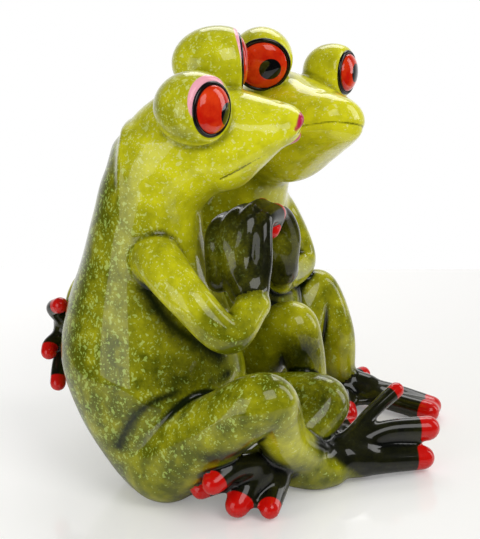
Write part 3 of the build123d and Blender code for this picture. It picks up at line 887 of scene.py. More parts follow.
def make_torso(name, middle, height, size, outlines):
    """A seated frog's torso."""
    ups, backs, widths, depths = np.array(outlines).T
    upright = (np.array([middle[0], middle[1], 0.0]), *np.eye(3))
    form = loft(upright, ups * height, backs * size[1], widths * size[0], depths * size[1])
    clays[name] = Clay([form])


def on_face(plane, size, shares):
    """A place on a head: across, up and ahead as shares of the head's own sizes."""
    return on_plane(plane, shares[0] * size[1], shares[1] * size[2], shares[2] * size[0])


def across_face(plane, size, half):
    """Places right across a head, from a row of shares that starts at its middle."""
    row = [(-across, up, ahead) for across, up, ahead in half[:0:-1]] + half
    return [on_face(plane, size, shares) for shares in row]


def make_head(name, plane, size, outlines, mouth, nostril_place, lips):
    """A head with its lids, lips, mouth and nostrils."""
    length, half_width, half_height = size
    aheads, ups, widths, heights = np.array(outlines).T
    outline = (aheads * length, ups * half_height, widths * half_width, heights * half_height)
    clay = Clay([loft(plane, *outline)])
    groove = [(*place, mouth_groove) for place in across_face(plane, size, mouth)]
    clay.carve(tube(groove), softness["mouth"])
    for side in (-1, 1):
        place = on_face(plane, size, (side * nostril_place[0], *nostril_place[1:]))
        clay.carve([run(place, place, nostril, nostril)], softness["nostril"])
    for frog_eye, (front, lid) in eye_fronts.items():
        if frog_eye.startswith(name[:4]):
            clay.carve([drill(front, lid[0] * eye_hole, lid[0])], softness["eye_hole"])
            clay.add([lid_form(front, lid)], softness["lid"])
    for places in lips:
        clay.add(tube(places), softness["lip"])
    clays[name] = clay


def make_hand(name, radius, palm_places, fingers):
    """A hand: its palm, and fingers with round tips."""
    clay = Clay(tube([(*spot(name, place), radius) for place in palm_places]))
    digit_tips[name] = []
    finger = lady_finger if name.startswith("lady") else gent_finger
    for places in fingers:
        shares = finger_shares[len(places)]
        line = [(*spot(name, place), finger * share) for place, share in zip(places, shares)]
        clay.add(tube(line), softness["finger"])
        digit_tips[name].append(line[-1])
    clays[name] = clay


def make_foot(name, radius, sole, toes):
    """A foot: its sole, toes with round tips, and the webs between them."""
    clay = Clay(tube([(*spot(name, place), radius) for place in sole]))
    toe_places = [[(*spot(name, place), place[3]) for place in places] for places in toes]
    toe_lines = [smooth_path(places, toe_parts) for places in toe_places]
    digit_tips[name] = [line[-1] for line in toe_lines]
    for line in toe_lines:
        clay.add(bars(line), softness["toe"])
    for first, second, share in zip(toe_lines, toe_lines[1:], web_reach):
        first, second = (line[: int(len(line) * share)] for line in (first, second))
        steps = np.linspace(0, 1, web_bars)
        pairs = [(first[int(s * (len(first) - 1))], second[int(s * (len(second) - 1))]) for s in steps]
        clay.add([run(a[:3], b[:3], web_half, web_half) for a, b in pairs], softness["toe"])
    clays[name] = clay


lady_lips = []
for radius, row in (upper_lip, lower_lip):
    places = across_face(lady_face, lady_head_size, row)
    lady_lips.append([(*place, radius * share) for place, share in zip(places, lip_shares)])

make_torso("lady_torso", lady_middle, lady_height, lady_torso_size, lady_torso_outlines)
make_torso("gent_torso", gent_middle, gent_height, gent_torso_size, gent_torso_outlines)
make_head("lady_head", lady_face, lady_head_size, lady_head_outlines, lady_mouth, lady_nostril, lady_lips)
make_head("gent_head", gent_face, gent_head_size, gent_head_outlines, gent_mouth, gent_nostril, [])
for name, (radius, places) in limb_paths.items():
    clays[name] = Clay(tube([(*spot(name, place), radius * place[3]) for place in places]))
clays["lady_right_leg"].add(
    tube([(*spot("lady", place), shin_rest) for place in shin_rest_path]), softness["shin"]
)
for name, settings in hand_paths.items():
    make_hand(name, *settings)
for name, settings in foot_paths.items():
    make_foot(name, *settings)


# All the clay together

root_places = {name: (spot(name, place), soft, spread) for name, (place, soft, spread) in head_roots.items()}
for name, (radius, places, *_) in {**limb_paths, **hand_paths, **foot_paths}.items():
    soft, share = limb_roots[name.split("_")[-1]]
    root_places[name] = (spot(name, places[0]), soft, radius * share)

# The distance to the joined skin, to the nearest piece's own clay, and the number of that piece
names = list(clays)
total = np.full(grid_size, reach, np.float32)
nearest = np.full(grid_size, reach, np.float32)
owner = np.zeros(grid_size, np.uint8)
for number, name in enumerate(names):
    clay = clays[name]
    soft = crease
    if name in root_places:
        root, most, spread = root_places[name]
        x, y, z = points_in(clay.cells)
        away = (x - root[0]) ** 2 + (y - root[1]) ** 2 + (z - root[2]) ** 2
        soft = crease + (most - crease) * np.exp(-away / spread**2)
    total[clay.cells] = joined(total[clay.cells], clay.far, soft)
    closer = clay.far < nearest[clay.cells]
    nearest[clay.cells] = np.where(closer, clay.far, nearest[clay.cells])
    owner[clay.cells] = np.where(closer, number, owner[clay.cells])
total = np.maximum(total, -grid_lines[2].astype(np.float32)[None, None, :])


def blurred(values, radius):
    """The values spread evenly over about radius."""
    half = max(int(round(radius / grain)), 1)
    for axis in (0, 1, 2) * 2:
        moved = np.moveaxis(values, axis, 0)
        padded = np.concatenate([np.repeat(moved[:1], half + 1, 0), moved, np.repeat(moved[-1:], half, 0)])
        sums = np.cumsum(padded, axis=0, dtype=np.float64)
        moved = (sums[2 * half + 1 :] - sums[: -2 * half - 1]) / (2 * half + 1)
        values = np.moveaxis(moved.astype(np.float32), 0, axis)
    return values


# One light smoothing of the joined clay, then how full it is round each place, which finds the folds
# that get painted shade, and its slopes
for axis in range(3):
    moved = np.moveaxis(total, axis, 0)
    moved[1:-1] = 0.25 * moved[:-2] + 0.5 * moved[1:-1] + 0.25 * moved[2:]
solid = np.clip(0.5 - total / grain, 0, 1)
shaded_hollows = {crease_shade: blurred(solid, settings[0]) for crease_shade, settings in shaded_folds.items()}
slopes = np.gradient(total, grain)


def sampled(values, places):
    """Grid values between the grid's points."""
    at = (places - low_corner) / grain
    first = np.clip(np.floor(at).astype(int), 0, grid_size - 2)
    share = (at - first).astype(np.float32)
    result = 0
    for corner in range(8):
        step = np.array([corner & 1, corner >> 1 & 1, corner >> 2 & 1])
        weight = np.prod(np.where(step, share, 1 - share), axis=1)
        i, j, k = (first + step).T
        result = result + weight * values[i, j, k]
    return result


def crossing_places(label, cells):
    """A place in each mixed cell: the mean of where its edges cross the skin, or the seam inside."""
    spread, count = np.zeros((len(cells), 3)), np.zeros((len(cells), 1))
    inside_spread, inside_count = np.zeros((len(cells), 3)), np.zeros((len(cells), 1))
    for axis in range(3):
        for corner in range(4):
            low = np.zeros(3, int)
            low[(axis + 1) % 3], low[(axis + 2) % 3] = corner & 1, corner >> 1
            high = low.copy()
            high[axis] = 1
            a, b = (cells + low).T, (cells + high).T
            label_a, label_b = label[tuple(a)], label[tuple(b)]
            value_a, value_b = total[tuple(a)], total[tuple(b)]
            edge = ((label_a == 0) != (label_b == 0))[:, None]
            share = np.where(edge[:, 0], value_a / np.where(value_a == value_b, 1, value_a - value_b), 0.5)
            place = low + (high - low) * np.clip(share, 0, 1)[:, None]
            spread += edge * place
            count += edge
            seam = ((label_a != label_b)[:, None]) & ~edge
            inside_spread += seam * place
            inside_count += seam
    outside = count[:, 0] > 0
    inside_mean = inside_spread / np.maximum(inside_count, 1)
    mean = np.where(outside[:, None], spread / np.maximum(count, 1), inside_mean)
    return low_corner + grain * (cells + mean), outside


def settle(places, outside):
    """Bring the places on the skin closer to it, in place, and none below the table's level."""
    flattest = 0.2
    for _ in range(2):
        skin = places[outside]
        value = sampled(total, skin)
        slope = np.stack([sampled(part, skin) for part in slopes], axis=1)
        step = slope * (value / np.maximum((slope**2).sum(1), flattest))[:, None]
        places[outside] = skin - np.clip(step, -grain / 2, grain / 2)
    places[:, 2] = np.maximum(places[:, 2], 0)


def drawn_skins():
    """One closed mesh a piece: shared places, and each piece's four-sided faces."""
    label = np.where(total < 0, owner + 1, 0).astype(np.uint8)
    inner = tuple(slice(0, size - 1) for size in label.shape)
    mixed_cells = np.zeros([size - 1 for size in label.shape], bool)
    for corner in range(1, 8):
        step = (corner & 1, corner >> 1 & 1, corner >> 2 & 1)
        moved = tuple(slice(s, s + n) for s, n in zip(step, mixed_cells.shape))
        mixed_cells |= label[moved] != label[inner]
    cells = np.argwhere(mixed_cells)
    index = np.full(mixed_cells.shape, -1, np.int32)
    index[mixed_cells] = np.arange(len(cells))
    places, outside = crossing_places(label, cells)
    settle(places, outside)
    faces = {number: [] for number in range(len(names))}
    for axis in range(3):
        second, third = (axis + 1) % 3, (axis + 2) % 3
        ahead = [slice(None)] * 3
        behind = [slice(None)] * 3
        behind[axis], ahead[axis] = slice(0, -1), slice(1, None)
        label_a, label_b = label[tuple(behind)], label[tuple(ahead)]
        at = np.argwhere(label_a != label_b)
        quad = []
        for step_second, step_third in ((-1, -1), (0, -1), (0, 0), (-1, 0)):
            cell = at.copy()
            cell[:, second] += step_second
            cell[:, third] += step_third
            quad.append(index[tuple(cell.T)])
        quad = np.stack(quad, axis=1)
        from_a, from_b = label_a[tuple(at.T)], label_b[tuple(at.T)]
        for number in range(len(names)):
            faces[number].append(quad[from_a == number + 1])
            faces[number].append(quad[from_b == number + 1][:, ::-1])
    return places, {number: np.concatenate(parts) for number, parts in faces.items()}


skin_places, skin_faces = drawn_skins()
skin_slopes = np.stack([sampled(part, skin_places) for part in slopes], axis=1)
skin_normals = skin_slopes / np.maximum(np.linalg.norm(skin_slopes, axis=1), 1e-6)[:, None]


# Paint: how much of each colour lies on a place of the skin, or how far it is from the colour's edge


def eased_step(low, high, values):
    """0 up to low and 1 from high, eased between them."""
    share = np.clip((values - low) / (high - low), 0, 1)
    return share * share * (3 - 2 * share)


def off_ball(places, centre, radius):
    """How far places lie outside a ball."""
    return np.linalg.norm(places - np.asarray(centre), axis=1) - radius


def sprayed_on(places, centre, radius):
    """1 at the middle of a round spray, fading outwards."""
    return np.exp(-((off_ball(places, centre, 0) / radius) ** 2))


def red_edge(places, name):
    """How far places lie from the red of the nearest finger or toe tip."""
    edge = np.full(len(places), reach)
    share = clasped_red_share if name == "lady_right_hand" else red_share
    for tip in digit_tips.get(name, []):
        edge = np.minimum(edge, off_ball(places, tip[:3], tip[3] * share))
    return edge


def lip_edge(places, name):
    """How far places lie from the crimson of the lady's lips."""
    edge = np.full(len(places), reach)
    if name == "lady_head":
        for lip_line in lady_lips:
            for place in smooth_path(lip_line):
                edge = np.minimum(edge, off_ball(places, place[:3], place[3] * lip_paint_share))
    return edge


def mouth_edge(places, name):
    """How far places lie from the line painted where a head's lips meet."""
    edge = np.full(len(places), reach)
    if name.endswith("head"):
        lady = (lady_mouth, lady_face, lady_head_size)
        gent = (gent_mouth, gent_face, gent_head_size)
        mouth, plane, size = lady if name == "lady_head" else gent
        for place in smooth_path(across_face(plane, size, mouth), mouth_parts):
            edge = np.minimum(edge, off_ball(places, place, mouth_line))
    return edge


def shadow_edge(places, name):
    """How far places lie from the pink crescent above each of the lady's eye rings."""
    edge = np.full(len(places), reach)
    if name == "lady_head":
        for eye in ("lady_right_eye", "lady_left_eye"):
            (middle, side, up, gaze), lid = eye_fronts[eye]
            offset = places - middle
            along, across, above = offset @ gaze, offset @ side, offset @ up
            turn = np.degrees(np.arctan2(above, across * (-1 if "right" in eye else 1)))
            turn = np.clip((turn - pink_middle) * pink_narrowing, -90, 90)
            width = pink_width * np.cos(np.radians(turn)) - pink_cut
            band = np.maximum(-along - width, along - pink_forward)
            edge = np.minimum(edge, np.maximum(band, np.hypot(across, above) - lid[0] * pink_out_share))
    return edge


def tone_and_shade(places, normals, name):
    """How olive the glaze is: pale yellow-green in front and above, olive behind and below, as its own two
    tones with painted light and shade over them.
    """
    behind, height = normals[:, 1], places[:, 2]
    if name.endswith(("torso", "head")):
        middle, _, up, ahead = lady_face if name.startswith("lady") else gent_face
        high = eased_step(*body_heights, height)
        # Painted light and shade: paler high up and more olive on what faces back
        shade_behind_share = shade_behind_low + (shade_behind_high - shade_behind_low) * high
        share = body_olive + shade_behind_share * behind - olive_off_high * high
        below = (middle - places) @ (face_fade_way[0] * ahead + face_fade_way[1] * up)
        face = 1 - eased_step(*face_fade, below)
        share = share * (1 - face) + (face_olive + face_shade_behind * behind) * face
    elif name.endswith("arm"):
        share = np.full(len(places), arm_olive)
    else:
        share = np.full(len(places), rest_olive[name[:4]])
    if name.endswith("head"):
        for (middle, _, _, gaze), (radius, length, front) in eye_fronts.values():
            away = off_ball(places, middle - gaze * front * length, 0)
            share = share + lid_olive[name[:4]] * (1 - eased_step(*(radius * s for s in lid_fade), away))
    # Sprayed painted light and shade
    for place, radius, amount in light_and_shade_sprays[name[:4]].values():
        share = share + amount * sprayed_on(places, spot(name, place), radius)
    return np.clip(share, 0, 1)


def deep_and_shade_share(places, name):
    """Where the glaze is dark green, partly airbrushed and partly painted shade: in the folds, and where it
    is sprayed on.
    """
    share = np.zeros(len(places))
    for crease_shade, (_, start, full, strength) in shaded_folds.items():
        share = np.maximum(share, strength * eased_step(start, full, sampled(shaded_hollows[crease_shade], places)))
    if name.endswith("head"):
        share = share * head_fold_shade
    # Sprayed strokes of dark green, partly painted shade
    for radius, amount, endings, stroke in deep_shade_strokes[name[:4]].values():
        if name.endswith(endings):
            for place in smooth_path([spot(name, place) for place in stroke]):
                share = np.maximum(share, amount * sprayed_on(places, place, radius))
    return share


def near_clay(name, places):
    """How far places lie from a piece's own clay."""
    clay = clays[name]
    wide = np.full(grid_size, reach, np.float32)
    wide[clay.cells] = clay.far
    return sampled(wide, places)


def black_share(places, name):
    """How much black glaze lies on a place: hands and feet, and a sprayed edge on the limbs beside them."""
    if name in ("lady_right_foot", "lady_right_leg"):
        right, up = view_directions()[1:]
        offset = places - spot(name, shin_black_start)
        past = np.minimum(offset @ (right * shin_black_way[0] + up * shin_black_way[1]), offset @ right)
        close = 1 - eased_step(*shin_black_end, near_clay("lady_right_foot", places))
        return black_full * eased_step(-shin_black_edge, shin_black_edge, past) * close
    for limb, end in (("arm", "hand"), ("leg", "foot")):
        if name.endswith(limb):
            away = near_clay(name.replace(limb, end), places)
            return black_on_limb * (1 - eased_step(*black_over[limb], away))
    if name.endswith(("torso", "head")):
        return np.zeros(len(places))
    radius, path, _ = {**hand_paths, **foot_paths}[name]
    away = off_ball(places, spot(name, path[0]), 0)
    share = black_full * eased_step(*(radius * s for s in black_root), away)
    if name in thin_black:
        place, spread, amount = thin_black[name]
        share = share - amount * sprayed_on(places, spot(name, place), spread)
    return share


def fleck_cover(places, normals, name):
    """Where the pale flecks lie: thick on backs, lids and shoulders, thin in front and below."""
    behind = eased_step(*fleck_back, normals[:, 1] - fleck_right_share * normals[:, 0])
    above = 0.5 + 0.5 * normals[:, 2]
    thick = body_flecks if name.endswith(("head", "torso")) else limb_flecks
    low = low_flecks * (1 - eased_step(*low_fleck_heights, places[:, 2]))
    cover = thick * (fleck_front_share + fleck_back_share * behind) + fleck_top_share * above
    return np.clip(cover - low, 0, 1)


# Materials


def paint(name):
    """A paint's colour for a shader, whose numbers are linear."""
    shares = [value / 255 for value in paints[name]]
    return tuple(s / 12.92 if s <= 0.04045 else ((s + 0.055) / 1.055) ** 2.4 for s in shares) + (1.0,)


def put(tree, kind, place, **settings):
    """A node in a tree, with its properties set."""
    node = tree.nodes.new(kind)
    node.location = (place[0] * 200, place[1] * -180)
    for key, value in settings.items():
        setattr(node, key, value)
    return node


def feed(tree, socket, value):
    """Give a socket its own number or colour, or link it to another socket."""
    if isinstance(value, (int, float, tuple)):
        socket.default_value = value
    else:
        tree.links.new(value, socket)


def group(name, inputs, outputs):
    """An empty shader group with its named number inputs and outputs."""
    tree = bpy.data.node_groups.new(name, "ShaderNodeTree")
    for label, value in inputs.items():
        socket = tree.interface.new_socket(name=label, in_out="INPUT", socket_type="NodeSocketFloat")
        socket.default_value = value
    for label in outputs:
        tree.interface.new_socket(name=label, in_out="OUTPUT", socket_type="NodeSocketFloat")
    return tree, put(tree, "NodeGroupInput", (-6, 0)), put(tree, "NodeGroupOutput", (6, 0))


def math_node(tree, operation, first, second, place=(0, 0), clamp=False):
    """A sum of two sockets or numbers."""
    node = put(tree, "ShaderNodeMath", place, operation=operation, use_clamp=clamp)
    for socket, value in zip(node.inputs, (first, second)):
        feed(tree, socket, value)
    return node.outputs[0]


def mixed(tree, share, first, second, place=(0, 0)):
    """One colour over another by a share."""
    node = put(tree, "ShaderNodeMix", place, data_type="RGBA", blend_type="MIX")
    for socket, value in ((node.inputs[0], share), (node.inputs[6], first), (node.inputs[7], second)):
        feed(tree, socket, value)
    return node.outputs[2]


def ramp(tree, value, low, high, place=(0, 0)):
    """0 up to low and 1 from high, eased between them."""
    node = put(tree, "ShaderNodeMapRange", place, interpolation_type="SMOOTHSTEP")
    for socket, given in zip(node.inputs, (value, low, high)):
        feed(tree, socket, given)
    return node.outputs[0]


def noise(tree, place, scale, **settings):
    """A noise that stays with the object's own coordinates."""
    node = put(tree, "ShaderNodeTexNoise", place, noise_dimensions="3D")
    where = put(tree, "ShaderNodeTexCoord", (place[0] - 1, place[1] + 1))
    tree.links.new(where.outputs["Object"], node.inputs["Vector"])
    feed(tree, node.inputs["Scale"], scale)
    for label, value in settings.items():
        node.inputs[label].default_value = value
    return node.outputs[0]


def fleck_group():
    """Flecks of pale green glaze, in two sizes, thick in places and thin in others."""
    tree, source, sink = group("pale_flecks", {"Size": 1.0, "Cover": 0.5}, ["Mask"])
    scale = math_node(tree, "DIVIDE", fleck_scale, source.outputs["Size"], (-5, 3))
    masks = []
    for row, size in zip((0, 2), fleck_sizes):
        grains = math_node(tree, "MULTIPLY", scale, size, (-4, row))
        grains = noise(tree, (-3, row), grains, Detail=1.5, Roughness=0.5, Distortion=0.3)
        patches = math_node(tree, "MULTIPLY", scale, patch_size * size, (-4, row + 1))
        patches = noise(tree, (-3, row + 1), patches, Detail=1.0)
        patches = math_node(tree, "MULTIPLY", patches, fleck_patch_share, (-2, row + 1))
        cover = math_node(tree, "MULTIPLY", source.outputs["Cover"], fleck_cover_share, (-2, row))
        level = math_node(tree, "SUBTRACT", fleck_level, cover, (-1, row))
        level = math_node(tree, "SUBTRACT", level, patches, (0, row))
        above = math_node(tree, "ADD", level, fleck_rise, (0, row + 1))
        masks.append(ramp(tree, grains, level, above, (1, row)))
    tree.links.new(math_node(tree, "MAXIMUM", *masks, (3, 0)), sink.inputs["Mask"])
    return tree


def airbrush_group():
    """A sprayed edge: a soft share broken up by fine drops."""
    tree, source, sink = group("sprayed_edge", {"Amount": 0.5, "Drops": 0.35}, ["Mask"])
    amount = source.outputs["Amount"]
    fine = noise(tree, (-4, 0), fine_drops, Detail=2.0)
    coarse = noise(tree, (-4, 2), coarse_drops, Detail=3.0)
    drops = math_node(tree, "ADD", fine, coarse, (-2, 1))
    drops = math_node(tree, "SUBTRACT", drops, 1.0, (-1, 1))
    drops = math_node(tree, "MULTIPLY", drops, source.outputs["Drops"], (0, 1))
    inner = math_node(tree, "SUBTRACT", 1.0, amount, (0, 2))
    inner = math_node(tree, "MULTIPLY", inner, amount, (1, 2))
    inner = math_node(tree, "MULTIPLY", inner, drop_strength, (1, 3))
    drops = math_node(tree, "MULTIPLY", drops, inner, (2, 1))
    tree.links.new(math_node(tree, "ADD", amount, drops, (3, 0), clamp=True), sink.inputs["Mask"])
    return tree


def ripple_group():
    """The slow waviness of a thick clear glaze, and its mottled shade."""
    tree, source, sink = group("glaze_ripple", {"Size": 4.0}, ["Height", "Shade"])
    scale = math_node(tree, "DIVIDE", 1 / MM, source.outputs["Size"], (-4, 0))
    tree.links.new(noise(tree, (-3, 0), scale, Detail=2.0), sink.inputs["Height"])
    mottle = noise(tree, (-3, 2), mottle_scale, Detail=5.0, Roughness=0.6)
    tree.links.new(mottle, sink.inputs["Shade"])
    return tree


groups = {"flecks": fleck_group(), "sprayed": airbrush_group(), "ripple": ripple_group()}


def place_group(tree, key, place, **values):
    """A shared effect placed in a material, with its values or the sockets that feed it."""
    node = put(tree, "ShaderNodeGroup", place, node_tree=groups[key])
    for label, value in values.items():
        feed(tree, node.inputs[label], value)
    return node.outputs


def attribute(tree, name, place):
    """A paint measure that the skin carries."""
    node = put(tree, "ShaderNodeAttribute", place, attribute_name=name, attribute_type="GEOMETRY")
    return node.outputs["Fac"]


def glossy(material_name):
    """A material with a clear glossy coat, and its shader."""
    material = bpy.data.materials.new(material_name)
    material.use_nodes = True
    shader = material.node_tree.nodes["Principled BSDF"]
    shader.inputs["Roughness"].default_value = 0.3
    shader.inputs["Specular IOR Level"].default_value = 0.08
    shader.inputs["Coat Weight"].default_value = 0.8
    shader.inputs["Coat IOR"].default_value = 1.48
    shader.inputs["Coat Roughness"].default_value = 0.03
    return material, shader


def frog_glaze(frog):
    """A frog's green glaze with painted light and shade in its tone and folds, pale flecks, black hands and
    feet, red and pink paint.
    """
    material, shader = glossy(frog + "_green_glaze")
    tree = material.node_tree
    ripple = place_group(tree, "ripple", (-9, 4), Size=glaze_wave)
    mottle = math_node(tree, "SUBTRACT", ripple["Shade"], 0.5, (-11, 1))
    mottle = math_node(tree, "MULTIPLY", mottle, mottle_strength, (-11, 2))
    # The tone is the glaze's own pale and olive with painted light and shade in it
    shade = math_node(tree, "ADD", attribute(tree, "tone_and_shade", (-12, 1)), mottle, (-10, 1), clamp=True)
    base = mixed(tree, shade, paint(frog + "_pale"), paint("olive"), (-8, 1))
    cover = math_node(tree, "MULTIPLY", attribute(tree, "fleck_cover", (-12, 3)), flecked[frog], (-9, 3))
    flecks = place_group(tree, "flecks", (-8, 3), Size=1.0, Cover=cover)["Mask"]
    fleck = mixed(tree, shade, paint("fleck_on_pale"), paint("fleck_on_olive"), (-7, 2))
    base = mixed(tree, math_node(tree, "MULTIPLY", flecks, fleck_strength, (-7, 3)), base, fleck, (-6, 1))
    # Dark green in folds and sprays: partly airbrushed glaze, partly painted shade
    crease_shade = attribute(tree, "deep_and_shade_share", (-12, 0))
    crease_shade = place_group(tree, "sprayed", (-5, 0), Amount=crease_shade, Drops=0.3)["Mask"]
    base = mixed(tree, crease_shade, base, paint("deep_green_and_shade"), (-5, 1))
    black = attribute(tree, "black_share", (-12, 5))
    black = place_group(tree, "sprayed", (-8, 5), Amount=black, Drops=0.25)["Mask"]
    base = mixed(tree, black, base, paint("black"), (-4, 1))
    edges = {"shadow_edge": "pink", "lip_edge": "crimson", "red_edge": "red", "mouth_edge": "mouth_brown"}
    for step, (name, over) in enumerate(edges.items()):
        edge = ramp(tree, attribute(tree, name, (-12, 6 + step)), -paint_edge, paint_edge, (-4, 3 + step))
        base = mixed(tree, edge, paint(over), base, (-3 + step, 1))
    tree.links.new(base, shader.inputs["Base Color"])
    bump = put(tree, "ShaderNodeBump", (-2, 4))
    bump.inputs["Strength"].default_value = 0.12
    bump.inputs["Distance"].default_value = 0.6 * MM
    height = math_node(tree, "MULTIPLY", flecks, fleck_height, (-4, 6))
    height = math_node(tree, "ADD", height, ripple["Height"], (-3, 6))
    tree.links.new(height, bump.inputs["Height"])
    tree.links.new(bump.outputs["Normal"], shader.inputs["Normal"])
    return material


def eye_glaze(material_name):
    """A red-orange iris with a black pupil, under a thick clear coat."""
    material, shader = glossy(material_name)
    shader.inputs["Roughness"].default_value = 0.12
    tree = material.node_tree
    shade = place_group(tree, "ripple", (-8, 4), Size=eye_wave)["Shade"]
    shade = ramp(tree, shade, 0.3, 0.7, (-6, 3))
    base = mixed(tree, shade, paint("iris_dark"), paint("iris_light"), (-5, 2))
    rim = attribute(tree, "iris_edge", (-8, 2))
    rim = ramp(tree, rim, -eye_paint_edge, eye_paint_edge, (-5, 3))
    base = mixed(tree, rim, base, paint("iris_rim"), (-4, 2))
    pupil = attribute(tree, "pupil_edge", (-8, 0))
    pupil = ramp(tree, pupil, -eye_paint_edge, eye_paint_edge, (-5, 0))
    base = mixed(tree, pupil, paint("pupil"), base, (-3, 1))
    tree.links.new(base, shader.inputs["Base Color"])
    return material


def ring_glaze():
    """The black glaze of the eye rings."""
    material, shader = glossy("black_ring_glaze")
    shader.inputs["Base Color"].default_value = paint("eye_ring")
    return material


# Meshes


def make_mesh(name, places, faces, normals, measures):
    """A mesh in metres with its smooth normals and its paint measures."""
    mesh = bpy.data.meshes.new(name)
    mesh.from_pydata((places * MM).tolist(), [], [list(map(int, face)) for face in faces])
    mesh.update()
    mesh.shade_smooth()
    for label, values in measures.items():
        measure = mesh.attributes.new(label, "FLOAT", "POINT")
        measure.data.foreach_set("value", np.asarray(values, np.float32))
    if normals is not None:
        mesh.normals_split_custom_set_from_vertices(normals.tolist())
    thing = bpy.data.objects.new(name, mesh)
    bpy.context.scene.collection.objects.link(thing)
    return thing


def make_skin(number, name):
    """A piece's skin with its paint measures and its normals."""
    used, faces = np.unique(skin_faces[number], return_inverse=True)
    faces = faces.reshape(-1, 4)
    places, normals = skin_places[used], skin_normals[used]
    measures = {
        "red_edge": red_edge(places, name),
        "shadow_edge": shadow_edge(places, name),
        "lip_edge": lip_edge(places, name),
        "tone_and_shade": tone_and_shade(places, normals, name),
        "deep_and_shade_share": deep_and_shade_share(places, name),
        "mouth_edge": mouth_edge(places, name),
        "black_share": black_share(places, name),
        "fleck_cover": fleck_cover(places, normals, name),
    }
    return make_mesh(name + "_skin", places, faces, normals, measures)


def lathe(plane, profile, around=72):
    """Places and faces of a closed round shape: its profile is out and ahead, from pole to pole."""
    middle, side, up, gaze = plane
    angles = np.linspace(0, 2 * math.pi, around, endpoint=False)
    places, faces = [middle + gaze * profile[0][1]], []
    for out, ahead in profile[1:-1]:
        for angle in angles:
            places.append(middle + gaze * ahead + (side * math.cos(angle) + up * math.sin(angle)) * out)
    places.append(middle + gaze * profile[-1][1])
    rows = len(profile) - 2
    last = 1 + (rows - 1) * around
    for step in range(around):
        after = (step + 1) % around
        faces.append((0, 1 + after, 1 + step))
        for row in range(rows - 1):
            a, b = 1 + row * around, 1 + (row + 1) * around
            faces.append((a + step, a + after, b + after, b + step))
        faces.append((last + step, last + after, len(places) - 1))
    return np.array(places), faces


def make_dome(name, front):
    """A red glass eye: a dome with a plug behind it, and how far its places are from pupil and rim."""
    radius = dome_radii[name]
    angles = np.radians(np.linspace(0, 90, dome_steps + 1))[1:]
    dome = [(radius * math.sin(a), dome_bulge * math.cos(a)) for a in angles]
    profile = [(0, dome_bulge), *dome, (radius, -dome_plug), (0, -dome_plug)]
    places, faces = lathe(front, profile[::-1])
    offset = places - front[0]
    across, above = offset @ front[1], offset @ front[2]
    aside, lifted, pupil_radius = pupils[name]
    measures = {
        "pupil_edge": np.hypot(across - aside, above - lifted) - pupil_radius,
        "iris_edge": np.hypot(across, above) - iris_share * radius,
    }
    return make_mesh(name + "_dome", places, faces, None, measures)


def ring_nodes():
    """A node tree that sweeps a round wire along a circle: one raised eye ring."""
    tree = bpy.data.node_groups.new("raised_eye_ring", "GeometryNodeTree")
    tree.is_modifier = True
    for label in ("Ring Radius", "Wire Radius"):
        tree.interface.new_socket(name=label, in_out="INPUT", socket_type="NodeSocketFloat")
    tree.interface.new_socket(name="Paint", in_out="INPUT", socket_type="NodeSocketMaterial")
    tree.interface.new_socket(name="Ring", in_out="OUTPUT", socket_type="NodeSocketGeometry")
    source, sink = put(tree, "NodeGroupInput", (-4, 0)), put(tree, "NodeGroupOutput", (4, 0))
    path = put(tree, "GeometryNodeCurvePrimitiveCircle", (-3, 1))
    path.inputs["Resolution"].default_value = ring_parts
    wire = put(tree, "GeometryNodeCurvePrimitiveCircle", (-3, -1))
    wire.inputs["Resolution"].default_value = wire_parts
    sweep = put(tree, "GeometryNodeCurveToMesh", (-1, 0))
    smooth = put(tree, "GeometryNodeSetShadeSmooth", (0, 0))
    real = put(tree, "GeometryNodeRealizeInstances", (1, 0))
    painted = put(tree, "GeometryNodeSetMaterial", (2, 0))
    for start, end in (
        (source.outputs["Ring Radius"], path.inputs["Radius"]),
        (source.outputs["Wire Radius"], wire.inputs["Radius"]),
        (path.outputs["Curve"], sweep.inputs["Curve"]),
        (wire.outputs["Curve"], sweep.inputs["Profile Curve"]),
        (sweep.outputs["Mesh"], smooth.inputs["Geometry"]),
        (smooth.outputs["Geometry"], real.inputs["Geometry"]),
        (real.outputs["Geometry"], painted.inputs["Geometry"]),
        (source.outputs["Paint"], painted.inputs["Material"]),
        (painted.outputs["Geometry"], sink.inputs["Ring"]),
    ):
        tree.links.new(start, end)
    return tree


def make_ring(name, front, tree, material):
    """The raised black ring round an eye."""
    ring = bpy.data.objects.new(name + "_ring", bpy.data.meshes.new(name + "_ring_start"))
    bpy.context.scene.collection.objects.link(ring)
    modifier = ring.modifiers.new("ring", "NODES")
    modifier.node_group = tree
    radius = dome_radii[name] + ring_gap
    values = {"Ring Radius": radius * MM, "Wire Radius": ring_wire * MM, "Paint": material}
    for socket in tree.interface.items_tree:
        if socket.in_out == "INPUT":
            modifier[socket.identifier] = values[socket.name]
    mesh = bpy.data.meshes.new_from_object(ring.evaluated_get(bpy.context.evaluated_depsgraph_get()))
    ring.modifiers.clear()
    middle, side, up, gaze = front
    place = Matrix([[side[i], up[i], gaze[i], middle[i] * MM] for i in range(3)] + [[0, 0, 0, 1]])
    mesh.transform(place)
    mesh.name = name + "_ring"
    ring.data = mesh
    return ring


made = []
glazes = {frog: frog_glaze(frog) for frog in ("lady", "gent")}
for number, name in enumerate(names):
    skin = make_skin(number, name)
    skin.data.materials.append(glazes[name[:4]])
    made.append((skin, name, "black_glaze" if name.endswith(("hand", "foot")) else "green_glaze"))

ring_tree, ring_material = ring_nodes(), ring_glaze()
for name, (front, lid) in eye_fronts.items():
    made.append((make_ring(name, front, ring_tree, ring_material), name[:4] + "_head", "black_glaze"))
    dome = make_dome(name, front)
    dome.data.materials.append(eye_glaze(name + "_glaze"))
    made.append((dome, name, "red_eye"))

